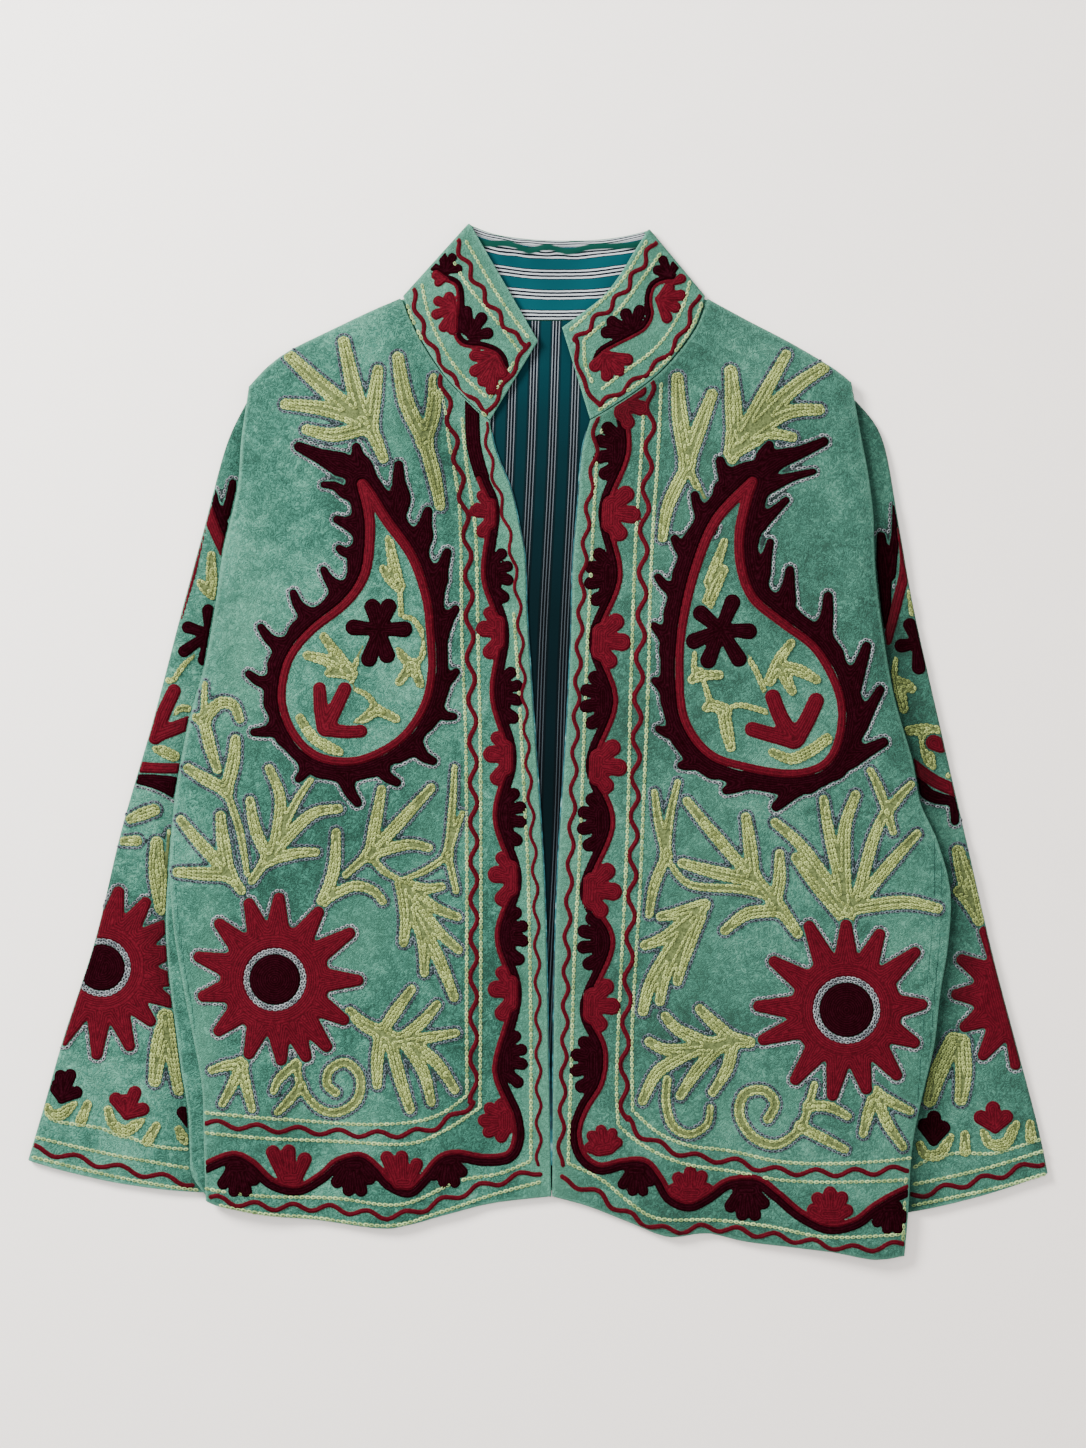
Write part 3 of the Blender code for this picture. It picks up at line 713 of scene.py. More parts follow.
def collar_sections():
    right = collar_front_sections(NECK_RIGHT, COLLAR_TOP_RIGHT)
    left = collar_front_sections(NECK_LEFT, COLLAR_TOP_LEFT)
    clear = FOLD_CLEAR / length_of(NECK_BACK)
    shares = np.linspace(clear, 1 - clear, COLLAR_BACK_STEPS)
    neck, top = at_shares(NECK_BACK, shares), at_shares(COLLAR_TOP_BACK, shares)
    back = lifted(neck, top, COLLAR_BACK_Z, COLLAR_BACK_Z)
    folds = []
    for front, place in (((NECK_RIGHT, COLLAR_TOP_RIGHT), 1), ((NECK_LEFT, COLLAR_TOP_LEFT), -2)):
        before = pair_at(*front, FRONT_NECK_PARTS, -2)
        corner = pair_at(*front, FRONT_NECK_PARTS, -1)
        after = pair_at(NECK_BACK, COLLAR_TOP_BACK, BACK_NECK_PARTS, place)
        folds.append(collar_fold(before, corner, after))
    return right + folds[0] + back + folds[1][::-1] + left[::-1]


def make_collar():
    """The band as a wall on both sides of its middle layer."""
    sections = collar_sections()
    high = shares_for(COLLAR_HEIGHT, COLLAR_SPACING)
    neck = np.array([section[0] for section in sections])
    top = np.array([section[1] for section in sections])
    middle = neck[:, None] * (1 - high[None, :, None]) + top[:, None] * high[None, :, None]
    on_front = ease((middle[..., 2] - UNEVEN_FROM_Z) / UNEVEN_BLEND)
    end = lengths_along((neck + top) / 2)
    from_ends = np.minimum(end, end[-1] - end)[:, None] + np.zeros(len(high))
    from_rims = np.minimum(high, 1 - high)[None, :] * COLLAR_HEIGHT + np.zeros((len(neck), 1))
    near = np.minimum(from_ends, from_rims)
    uneven = cockle(middle[..., 0] * UNEVEN_CLOSER, middle[..., 1] * UNEVEN_CLOSER)
    middle[..., 2] += on_front * ease(near / UNEVEN_INSET) * UNEVEN_SHARE * uneven
    normal = np.cross(np.gradient(middle, axis=1), np.gradient(middle, axis=0))
    normal /= np.linalg.norm(normal, axis=2)[..., None]
    half = rounded(near, COLLAR_WALL)[..., None] / 2
    faces = (middle + normal * half, middle - normal * half)
    for face in faces:
        face[..., 2] = np.maximum(face[..., 2], 0.0)
    return closed_shell("collar_velvet", *faces, {"edge": near, "worn": np.full(near.shape, COLLAR_WEAR_AND_HIGHLIGHT)})


def swaying(x, step, sway, sway_step):
    """A wave across x whose crests come a little closer and further by turns."""
    return np.sin(x / step + sway * np.sin(x / sway_step))


def make_collar_lining():
    """The striped band inside the back of the neck, puckered along its top."""
    length = length_of(NECK_BACK)
    inset = COLLAR_LINING_INSET / length
    spacing_along, spacing_up = COLLAR_LINING_SPACING
    u = inset + (1 - 2 * inset) * shares_for(length, spacing_along)
    high = shares_for(COLLAR_HEIGHT * COLLAR_LINING_HEIGHT, spacing_up)
    neck, top = at_shares(NECK_BACK, u), at_shares(COLLAR_TOP_BACK, u)
    share = (COLLAR_LINING_START + COLLAR_LINING_HEIGHT * high)[:, None, None]
    plan = neck[None] * (1 - share) + top[None] * share
    x, up = plan[..., 0], share[..., 0]
    near = edge_distance(plan)
    puckered = ease((up - PUCKER_START) / PUCKER_RUN)
    pucker = puckered * swaying(x, *PUCKER_WAVE) * np.sin(up * 16.0 + x / 21.0)
    billow = 0.5 * (1 + np.sin(x / 15.0 + up * 7.0)) * np.sin(math.pi * up)
    height = up * COLLAR_LINING_RISE
    crest = RUFFLE_HEIGHT + CREST_SWAY * swaying(x, *CREST_WAVE)
    ruffle = np.exp(-(((height - crest) / RUFFLE_HALF) ** 4))
    rise = PUCKER_LIFT * (pucker + 1) * puckered + BILLOW_LIFT * billow + RUFFLE_LIFT * ruffle
    lift = ease(near / LINING_LIFT_INSET) * rise
    under = np.full(x.shape, COLLAR_WALL + SEAM_GAP)
    over = under + rounded(near, LINING_WALL) + lift
    top_stripes = TOP_STRIPES_START + (height - TOP_STRIPES_FROM) * TOP_STRIPES_CLOSER
    drawn = np.where(height > TOP_STRIPES_FROM, top_stripes, height)
    drawn = drawn + 0.7 * puckered * pucker + 0.5 * billow * np.sin(x / 11.0)
    return shell("collar_lining_cloth", plan, under, over, {"edge": near, "stripe": drawn, "ruffle": ruffle})


def make_back_lining():
    """The striped cloth of the back, as far as it shows between the front edges."""
    neck = [tuple(p) for p in spline(NECK_BACK) if LINING_NECK_X[0] < p[0] < LINING_NECK_X[1]]
    top_line = moved_out(even(neck, FRONT_NECK_PARTS), -SEAM_GAP)
    sides = []
    for edge, lap, last in ((EDGE_RIGHT, -LINING_UNDERLAP, 0), (EDGE_LEFT, LINING_UNDERLAP, -1)):
        moved = [(x + lap, y) for x, y in edge[:-1]]
        sides.append([(moved[0][0], LINING_HEM_Y)] + moved[1:] + [tuple(top_line[last])])
    right, left = sides
    u = shares_for(BACK_LINING_WIDTH, LINING_SPACING)
    v = shares_for(length_of(right), LINING_SPACING)
    hem = at_shares([right[0], left[0]], u)
    plan = patch(hem, at_shares(top_line, u), at_shares(right, v), at_shares(left, v), u, v)
    x, y = plan[..., 0], plan[..., 1]
    near = edge_distance(plan)
    under = back_under(x, y) + BACK_WALL + SEAM_GAP
    uneven = ease(near / BACK_LINING_INSET) * BACK_LINING_SHARE * cockle(x, y)
    over = under + rounded(near, LINING_WALL) + uneven
    sway, sway_step = STRIPE_SWAY
    stripe = x - STRIPE_TILT * y - STRIPE_START + sway * np.sin(y / sway_step)
    dim = np.interp(y, *zip(*BACK_LINING_PAINTED_SHADE))
    return shell("back_lining_cloth", plan, under, over, {"edge": near, "stripe": stripe, "dim": dim})


def make_cord(name, path, radius):
    """A thin round lip of cloth along a path of x, y and z."""
    tangent = np.gradient(path, axis=0)
    tangent /= np.linalg.norm(tangent, axis=1)[:, None]
    across = np.stack([-tangent[:, 1], tangent[:, 0], np.zeros(len(path))], axis=1)
    up = np.array([0.0, 0.0, 1.0])
    angles = np.linspace(0, 2 * math.pi, LIP_SIDES, endpoint=False)
    rings = [path + radius * (math.cos(a) * across + math.sin(a) * up) for a in angles]
    index = numbered(len(path), LIP_SIDES)
    faces = list(ring_faces(index, 0)) + [index[0][::-1], index[-1]]
    return mesh_object(name, np.stack(rings, axis=1).reshape(-1, 3), faces, closed=True)


def make_edge_lip(name, edge, outward, closed_edge):
    """The edge of the lining, which shows as a thin line beside the front edge. outward is 1 to the left."""
    line = moved_out(at_shares(edge, np.linspace(*LIP_SHARES, LIP_POINTS)), outward * LIP_OUT)
    z = front_under(line[:, 0], line[:, 1], closed_edge) + LIP_RADIUS
    return make_cord(name, np.column_stack([line, z]), LIP_RADIUS)


# Stitched shapes as signed distances

FIELD_STEP = 1.25
FAR = 40.0
REACH = 8.0
FILLS = ("red", "maroon", "leaf", "grey", "outline", "seam")
# Fills that a motif is made of, and those of them that rows of chain stitches cover
SHAPES = FILLS[:4]
IN_ROWS = ("leaf", "grey")
# Smooth joint between the strokes of one motif, and the least gap between two threads
BLEND = 3.2
GROOVE = -0.35
LEAF_GAP = 0.9
OUTLINE_GAP = 1.45
OUTLINE_BAND = 2.9
SEAM_CLEAR = 1.0
# Chains stop this far inside red and maroon, and rows on outlines this share of their gap outside any shape
CHAIN_OVERLAP = -0.5
OUTLINE_CLEAR = 0.55


class Sewing:
    """Signed distances to the stitched shapes on one panel, one field for each thread."""

    def __init__(self, low, high):
        across = np.arange(low[0], high[0] + FIELD_STEP, FIELD_STEP)
        along = np.arange(low[1], high[1] + FIELD_STEP, FIELD_STEP)
        self.x, self.y = np.meshgrid(across, along, indexing="ij")
        self.fields = {thread: np.full(self.x.shape, FAR) for thread in FILLS + ("outlined",)}
        self.chains = []

    def window(self, strokes):
        """The part of the grid round the strokes."""
        points = np.vstack([np.asarray(points, float) for points, _ in strokes])
        reach = REACH + max(max(np.atleast_1d(widths)) for _, widths in strokes)
        low, high = points.min(axis=0) - reach, points.max(axis=0) + reach
        first = ((low - [self.x[0, 0], self.y[0, 0]]) / FIELD_STEP).astype(int)
        last = ((high - [self.x[0, 0], self.y[0, 0]]) / FIELD_STEP).astype(int) + 2
        first = np.maximum(first, 0)
        return slice(first[0], max(last[0], first[0])), slice(first[1], max(last[1], first[1]))

    def stroke(self, window, points, widths):
        """Distance to a stroke whose width changes evenly between the given widths."""
        x, y = self.x[window], self.y[window]
        curve = spline(points, 6) if len(points) > 2 else np.asarray(points, float)
        marks = lengths_along(curve)
        widths = np.atleast_1d(widths)
        places = np.linspace(0, marks[-1], len(widths))
        radii = np.interp(marks, places, widths) / 2
        nearest = np.full(x.shape, FAR)
        for (ax, ay), (bx, by), r0, r1 in zip(curve, curve[1:], radii, radii[1:]):
            away, share = distance_to_line(x, y, ax, ay, bx, by)
            nearest = np.minimum(nearest, away - r0 - (r1 - r0) * share)
        return nearest

    def sew(self, thread, strokes, blend=BLEND, outlined=True):
        """One motif: strokes as (points, widths) that flow into each other."""
        window = self.window(strokes)
        if self.x[window].size == 0:
            return
        total = None
        for points, widths in strokes:
            field = self.stroke(window, points, widths)
            if total is None:
                total = field
            else:
                share = np.clip(0.5 + 0.5 * (total - field) / blend, 0, 1)
                total = total * (1 - share) + field * share - blend * share * (1 - share)
        self.merge(thread, window, total, outlined)

    def merge(self, thread, window, field, outlined=False):
        names = (thread, "outlined") if outlined else (thread,)
        for name in names:
            self.fields[name][window] = np.minimum(self.fields[name][window], field)

    def sew_ring(self, thread, centre, radius, width):
        """A ring, or a disc where the radius is 0 and the width is its diameter."""
        away = np.hypot(self.x - centre[0], self.y - centre[1])
        everything = (slice(None), slice(None))
        self.merge(thread, everything, np.abs(away - radius) - width / 2)

    def carve_disc(self, thread, centre, radius):
        away = np.hypot(self.x - centre[0], self.y - centre[1])
        self.fields[thread] = np.maximum(self.fields[thread], radius - away)

    def chain(self, thread, points):
        """A single row of chain stitches."""
        self.chains.append((thread, spline(points, 8)))

    def settle(self, outline_field):
        """Keeps the threads off each other and inside the panel."""
        fields = self.fields
        fields["maroon"] = np.maximum(fields["maroon"], GROOVE - fields["red"])
        dark = np.minimum(fields["maroon"], fields["red"])
        fields["leaf"] = np.maximum(fields["leaf"], LEAF_GAP - dark)
        sewn_over = np.minimum.reduce([fields[name] for name in SHAPES])
        # The outline fill is a dark band round the outlined shapes: a dark thread line and painted shadow
        # beside the outline chains
        band = np.abs(fields["outlined"] - OUTLINE_GAP) - OUTLINE_BAND / 2
        fields["outline"] = np.maximum(band, 0.1 - sewn_over)
        fields["seam"] = np.maximum(fields["seam"], SEAM_CLEAR - np.minimum(sewn_over, fields["outline"]))
        for thread in FILLS:
            fields[thread] = np.maximum(fields[thread], outline_field)

    def value(self, field, points):
        """A field's value at any points, between those of the grid."""
        spot = (points - [self.x[0, 0], self.y[0, 0]]) / FIELD_STEP
        limit = np.array(field.shape) - 1.001
        spot = np.clip(spot, 0, limit)
        cell = spot.astype(int)
        fraction = spot - cell
        i, j = cell[:, 0], cell[:, 1]
        low = field[i, j] * (1 - fraction[:, 0]) + field[i + 1, j] * fraction[:, 0]
        high = field[i, j + 1] * (1 - fraction[:, 0]) + field[i + 1, j + 1] * fraction[:, 0]
        return low * (1 - fraction[:, 1]) + high * fraction[:, 1]


# Corners of a cell of the grid in turn, and for each kind of cell its crossed sides, inside on the left
CELL_CORNERS = ((0, 0), (1, 0), (1, 1), (0, 1))
CELL_CROSSINGS = {
    1: ((0, 3),), 2: ((1, 0),), 3: ((1, 3),), 4: ((2, 1),), 5: ((0, 3), (2, 1)), 6: ((2, 0),), 7: ((2, 3),),
    8: ((3, 2),), 9: ((0, 2),), 10: ((1, 0), (3, 2)), 11: ((1, 2),), 12: ((3, 1),), 13: ((0, 1),),
    14: ((3, 0),),
}


class Contours:
    """Where a field falls below a level: its cells, its corners and the crossings on its grid lines."""

    def __init__(self, sewing, field, level=0.0):
        self.sewing, self.field = sewing, field - level
        self.count = field.size
        self.rows = field.shape[1]
        below = self.field < 0
        self.kind = sum(
            below[a: a + below.shape[0] - 1, b: b + below.shape[1] - 1].astype(int) << bit
            for bit, (a, b) in enumerate(CELL_CORNERS)
        )

    def corner_key(self, i, j, corner):
        a, b = CELL_CORNERS[corner]
        return (i + a) * self.rows + j + b

    def side_key(self, i, j, side):
        """Sides 0 and 2 run across, 1 and 3 run along. Neighbouring cells share their keys."""
        if side in (0, 2):
            return self.count + i * self.rows + j + (1 if side == 2 else 0)
        return 2 * self.count + (i + (1 if side == 1 else 0)) * self.rows + j

    def places(self, keys):
        """Plan points of keys."""
        kind, node = np.divmod(keys, self.count)
        i, j = np.divmod(node, self.rows)
        x, y, field = self.sewing.x, self.sewing.y, self.field
        i2 = np.minimum(i + (kind == 1), field.shape[0] - 1)
        j2 = np.minimum(j + (kind == 2), field.shape[1] - 1)
        a, b = field[i, j], field[i2, j2]
        share = np.where(kind == 0, 0.0, a / np.where(a == b, 1.0, a - b))
        share = np.clip(share, 0, 1)
        return np.stack([
            x[i, j] + (x[i2, j2] - x[i, j]) * share, y[i, j] + (y[i2, j2] - y[i, j]) * share,
        ], axis=1)

    def surface(self):
        """Plan points, depths below the level and faces of the region."""
        groups = []
        for kind in range(1, 16):
            i, j = np.nonzero(self.kind == kind)
            if len(i) == 0:
                continue
            keys = []
            for corner in range(4):
                here, after = kind >> corner & 1, kind >> (corner + 1) % 4 & 1
                if here:
                    keys.append(self.corner_key(i, j, corner))
                if here != after:
                    keys.append(self.side_key(i, j, corner))
            groups.append(np.stack(keys, axis=1))
        if not groups:
            return np.zeros((0, 2)), np.zeros(0), []
        used, numbers = np.unique(np.concatenate([group.ravel() for group in groups]), return_inverse=True)
        points = self.places(used)
        depth = np.where(used < self.count, -self.field.ravel()[np.minimum(used, self.count - 1)], 0.0)
        faces, start = [], 0
        for group in groups:
            block = numbers[start: start + group.size].reshape(group.shape)
            faces.extend(block)
            start += group.size
        return points, depth, faces

    def curves(self):
        """Lines along the level: first the open ones, then the closed ones."""
        following = {}
        for kind, crossings in CELL_CROSSINGS.items():
            i, j = np.nonzero(self.kind == kind)
            for first, second in crossings:
                following.update(zip(
                    self.side_key(i, j, first).tolist(), self.side_key(i, j, second).tolist(),
                ))
        heads = sorted(set(following) - set(following.values()))
        lines = []
        for start in heads + sorted(following):
            if start not in following:
                continue
            keys, key = [start], start
            while key in following:
                key = following.pop(key)
                keys.append(key)
            lines.append(self.places(np.array(keys)))
        return lines


# Stitches as geometry

# A chain stitch seen from above, from its head to its tail: along, across
LINK_SHAPE = np.array([(0.5, 0.0), (0.2, 0.5), (-0.25, 0.42), (-0.5, 0.0), (-0.25, -0.42), (0.2, -0.5)])
LINK_SIDES = len(LINK_SHAPE)
LINK_POINTS = 2 * LINK_SIDES + 1
# Share of a link's width beyond which a point is on its flank, and the size of its inner ring
LINK_FLANK = 0.1
LINK_RING = 0.68
LINK_CORE_DIP = 0.35
LINK_SINK = 0.25
# Sizes of the stitches of each kind: length, distance apart, width, height
STITCHES = {
    "leaf": (4.2, 3.5, 2.35, 0.85),
    "grey": (4.5, 3.8, 2.35, 0.8),
    "cream": (4.8, 3.9, 2.75, 0.8),
}
ROW_SPACING = 2.15
FIRST_ROW = 1.0
MOST_ROWS = 8
FILL_HEIGHT = {"red": 1.15, "maroon": 1.1, "leaf": 0.5, "grey": 0.45, "outline": 0.15, "seam": 0.12}
FILL_EDGE = 1.7
FILL_SINK = 0.25
# No thread goes lower than this, so that none is under the surface that the jacket lies on
LOWEST_STITCH = 0.05
# Rays that find the panels start this high, and slopes steeper than this rise of a normal aren't followed
RAY_START = 60.0
LEAST_NORMAL = 0.3
# Curves shorter than this many stitches stay bare; a stitch's direction is taken over this share of its step
FEWEST_STITCHES = 1.4
DIRECTION_REACH = 0.3
# Chain stitches may pass the panel's clear edge by this much, and differ in turn and in size
RIM_OVERLAP = 0.4
TURN_SPREAD = 0.09
SIZE_SPREAD = 0.07


class Ground:
    """The top of a finished panel, for stitches to lie on."""

    def __init__(self, obj):
        vertices = [tuple(v.co / MM) for v in obj.data.vertices]
        self.tree = BVHTree.FromPolygons(vertices, [tuple(p.vertices) for p in obj.data.polygons])

    def under(self, points):
        """Heights and slopes of the panel under plan points. Height is nan beyond the panel."""
        heights = np.full(len(points), np.nan)
        slopes = np.zeros((len(points), 2))
        down = Vector((0.0, 0.0, -1.0))
        for n, (x, y) in enumerate(points.tolist()):
            spot, normal, _, _ = self.tree.ray_cast(Vector((x, y, RAY_START)), down)
            if spot is not None:
                heights[n] = spot.z
                if normal.z > LEAST_NORMAL:
                    slopes[n] = (-normal.x / normal.z, -normal.y / normal.z)
        return heights, slopes


def fill_object(name, sewing, thread, ground, material, dim):
    """The padded body of all stitched shapes of one thread on one panel."""
    points, depth, faces = Contours(sewing, sewing.fields[thread]).surface()
    if not faces:
        return None
    z, _ = ground.under(points)
    missing = np.isnan(z)
    if missing.any():
        faces = [face for face in faces if not missing[face].any()]
        z = np.where(missing, 0.0, z)
    swell = arc(depth / FILL_EDGE)
    z = np.maximum(z + swell * (FILL_HEIGHT[thread] + FILL_SINK) - FILL_SINK, LOWEST_STITCH)
    # Threads take the painted shade of the cloth under them
    marks = {"depth": depth, "dim": dim(*points.T)}
    obj = mesh_object(name, np.column_stack([points, z]), faces, attributes=marks)
    obj.data.materials.append(material)
    return obj


def stepped(curve, spacing):
    """Points about a spacing apart along a curve, and the curve's direction at each."""
    marks = lengths_along(curve)
    if marks[-1] < spacing * FEWEST_STITCHES:
        return np.zeros((0, 2)), np.zeros((0, 2))
    count = max(2, round(marks[-1] / spacing))
    places = np.linspace(0, marks[-1], count + 1)
    places = (places[:-1] + places[1:]) / 2
    reach = spacing * DIRECTION_REACH
    direction = points_at(curve, marks, places + reach) - points_at(curve, marks, places - reach)
    direction /= np.maximum(np.linalg.norm(direction, axis=1), 1e-9)[:, None]
    return points_at(curve, marks, places), direction


def stitch_rows(sewing, thread):
    """Centres and directions of the stitches of one kind on one panel."""
    fields = sewing.fields
    pitch = STITCHES[thread][1]
    found = []
    if thread in IN_ROWS:
        for row in range(MOST_ROWS):
            level = -FIRST_ROW - row * ROW_SPACING
            for curve in Contours(sewing, fields[thread], level).curves():
                found.append(stepped(curve, pitch))
    if thread == "grey":
        shapes = np.minimum.reduce([fields[name] for name in SHAPES])
        for curve in Contours(sewing, fields["outlined"], OUTLINE_GAP).curves():
            points, direction = stepped(curve, pitch)
            clear = sewing.value(shapes, points) > OUTLINE_GAP * OUTLINE_CLEAR
            found.append((points[clear], direction[clear]))
    dark = np.minimum(fields["red"], fields["maroon"])
    for name, curve in sewing.chains:
        if name == thread:
            points, direction = stepped(curve, pitch)
            clear = sewing.value(dark, points) > CHAIN_OVERLAP
            found.append((points[clear], direction[clear]))
    found = [pair for pair in found if len(pair[0])]
    if not found:
        return np.zeros((0, 2)), np.zeros((0, 2))
    return np.vstack([pair[0] for pair in found]), np.vstack([pair[1] for pair in found])


def link_mesh(centres, along, z, slopes, size, thread):
    """Points and faces of all links of one kind: an outer ring, an inner ring and a dip in each middle."""
    length, _, width, height = STITCHES[thread]
    template = np.vstack([LINK_SHAPE, LINK_SHAPE * LINK_RING, [[0.0, 0.0]]])
    rise = np.concatenate([np.full(LINK_SIDES, -LINK_SINK), np.ones(LINK_SIDES), [LINK_CORE_DIP]])
    reach_along = template[:, 0][None] * length * size
    reach_across = template[:, 1][None] * width * size
    x = centres[:, 0:1] + reach_along * along[:, 0:1] - reach_across * along[:, 1:2]
    y = centres[:, 1:2] + reach_along * along[:, 1:2] + reach_across * along[:, 0:1]
    lift = z[:, None] + slopes[:, 0:1] * (x - centres[:, 0:1]) + slopes[:, 1:2] * (y - centres[:, 1:2])
    points = np.stack([x, y, np.maximum(lift + rise[None] * height, LOWEST_STITCH)], axis=-1).reshape(-1, 3)
    ring = np.arange(LINK_SIDES)
    after = (ring + 1) % LINK_SIDES
    quads = np.stack([ring, after, after + LINK_SIDES, ring + LINK_SIDES], axis=1)
    tips = np.stack([ring + LINK_SIDES, after + LINK_SIDES, np.full(LINK_SIDES, LINK_POINTS - 1)], axis=1)
    base = (np.arange(len(centres)) * LINK_POINTS)[:, None, None]
    return points, list((quads[None] + base).reshape(-1, 4)) + list((tips[None] + base).reshape(-1, 3))


def stitch_object(name, sewing, thread, ground, clip_field, material, dim):
    """All chain stitches of one kind on one panel, as one mesh."""
    centres, directions = stitch_rows(sewing, thread)
    if len(centres) == 0:
        return None
    keep = sewing.value(clip_field, centres) < RIM_OVERLAP
    centres, directions = centres[keep], directions[keep]
    z, slopes = ground.under(centres)
    keep = ~np.isnan(z)
    centres, directions, z, slopes = centres[keep], directions[keep], z[keep], slopes[keep]
    if len(centres) == 0:
        return None
    if thread in IN_ROWS:
        z = z + arc(-sewing.value(sewing.fields[thread], centres) / FILL_EDGE) * FILL_HEIGHT[thread]
    count = len(centres)
    turn = RANDOM.normal(0, TURN_SPREAD, count)
    cosine, sine = np.cos(turn), np.sin(turn)
    to_x, to_y = directions.T
    along = np.stack([to_x * cosine - to_y * sine, to_x * sine + to_y * cosine], axis=1)
    size = RANDOM.normal(1.0, SIZE_SPREAD, count)[:, None]
    points, faces = link_mesh(centres, along, z, slopes, size, thread)
    beside_dark = np.ones(count)
    if thread == "grey":
        dark = np.minimum(sewing.fields["red"], sewing.fields["maroon"])
        beside_dark = sewing.value(dark, centres) < sewing.value(sewing.fields["leaf"], centres)
    core = np.append(np.zeros(LINK_POINTS - 1), 1.0)
    flank = np.concatenate([np.abs(LINK_SHAPE[:, 1]) > LINK_FLANK, np.zeros(LINK_POINTS - LINK_SIDES)])
    # Each link also takes the painted shade of the cloth under it
    obj = mesh_object(name, points, faces, attributes={
        "core": np.tile(core, count), "flank": np.tile(flank, count),
        "pale": np.repeat(beside_dark, LINK_POINTS),
        "shade": np.repeat(RANDOM.uniform(0, 1, count), LINK_POINTS),
        "dim": np.repeat(dim(*centres.T), LINK_POINTS),
    })
    obj.data.materials.append(material)
    return obj


# Motifs. Points are x and y; a stroke's widths run evenly from its first point to its last.

# How far a stroke's first point is drawn in, as a share of its width, and the most of its first stretch
DRAWN_IN = 0.42
MOST_DRAWN_IN = 0.8
# Widths from tip to root as shares: of a leaf, a thorn, a petal without its foot and a border flower's lobe
LEAF_WIDTHS = (0.74, 1.0, 0.95)
THORN_WIDTHS = (0.84, 1.2, 1.95, 1.5)
THORN_DRAWN_IN = 0.8
PETAL_WIDTHS = (1.0, 0.94)
LOBE_WIDTHS = (1.0, 0.9, 0.75)
TULIP_WIDTHS = (1.0, 1.1)
# How far a thorn's foot runs along its band, and where its bend lies: shares of tip, root and foot
THORN_FOOT = 9.0
THORN_BEND = (0.55, 0.45, 0.12)
# Widths of a paisley's red line, what its point adds to that, and of its flower's petals
PAISLEY_RED = 6.0
PAISLEY_POINT = 2.0
PAISLEY_PETAL = 11.6
# Rays of a sunburst: how far their roots lie inside its valleys, and widths
RAY_ROOT = 5.0
RAY_WIDTHS = (8.4, 12.2, 18.0)
# Shares of a vine's width that are red, maroon, and all maroon
VINE_RED, VINE_MAROON, VINE_PLAIN = 0.42, 0.64, 1.15
# Widths of a cuff's leaves and ovals, of the collar's vine and red lines and of a seam's thread
CUFF_LEAF = 8.4
CUFF_OVAL = 8.6
COLLAR_VINE = 5.8
COLLAR_LINE = 3.5
SEAM_WIDTH = 2.0
# A collar petal's width as a share of its table's, and its foot's as a share of that
COLLAR_PETAL_SHARE = 0.92
COLLAR_PETAL_FOOT = 0.5


def drawn_in(points, width):
    """The points with the first moved in, so that the round end comes to where it was."""
    (ax, ay), (bx, by) = points[0], points[1]
    share = min(MOST_DRAWN_IN, width * DRAWN_IN / max(math.dist(points[0], points[1]), 1e-6))
    return [(ax + (bx - ax) * share, ay + (by - ay) * share)] + list(points[1:])


def tapered(row, shares):
    """A stroke from a row of its points' x and y and its width, with the shares of that width along it."""
    *numbers, width = row
    points = list(zip(numbers[::2], numbers[1::2]))
    return drawn_in(points, width), [width * share for share in shares]


def leaf_spray(sewing, rows, outlined=True):
    """Leaves of one stem. Each is a row: x and y of its points from the tip to the joint, then its width."""
    sewing.sew("leaf", [tapered(row, LEAF_WIDTHS) for row in rows], outlined=outlined)


def paisley(sewing, line, red_width, maroon_width, outward, thorns):
    """A red drop with a maroon band round it, and maroon thorns on the band: tip, root, width."""
    closed = line + [line[0]]
    wide = red_width + PAISLEY_POINT
    sewing.sew("red", [(closed, (wide, red_width, red_width, red_width, wide))], outlined=False)
    away = (red_width + maroon_width) / 2
    band = moved_out(spline(closed, 3), outward * away)
    strokes = [([tuple(p) for p in band[::2]], (maroon_width,))]
    tip_share, root_share, foot_share = THORN_BEND
    for tip, root, width in thorns:
        nearest = int(np.argmin(np.hypot(band[:, 0] - root[0], band[:, 1] - root[1])))
        run = band[(nearest + 2) % len(band)] - band[nearest - 2]
        run /= max(np.linalg.norm(run), 1e-9)
        lean = np.array(root) - np.array(tip)
        run *= np.sign(run @ lean) if abs(run @ lean) > 1e-6 else 0.0
        foot = tuple(band[nearest] + run * THORN_FOOT)
        bend = tip_share * np.array(tip) + root_share * np.array(root) + foot_share * (np.array(foot) - root)
        points = drawn_in([tip, tuple(bend)], width * THORN_DRAWN_IN) + [root, foot]
        strokes.append((points, [width * share for share in THORN_WIDTHS]))
    sewing.sew("maroon", strokes, blend=4.5)


def petals(sewing, thread, centre, tips, width, foot=0.72):
    """A flower: petals that are widest near their round ends. foot is their width's share at the centre."""
    shares = (*PETAL_WIDTHS, foot)
    sewing.sew(thread, [tapered((*tip, *centre, width), shares) for tip in tips], blend=0.6, outlined=False)


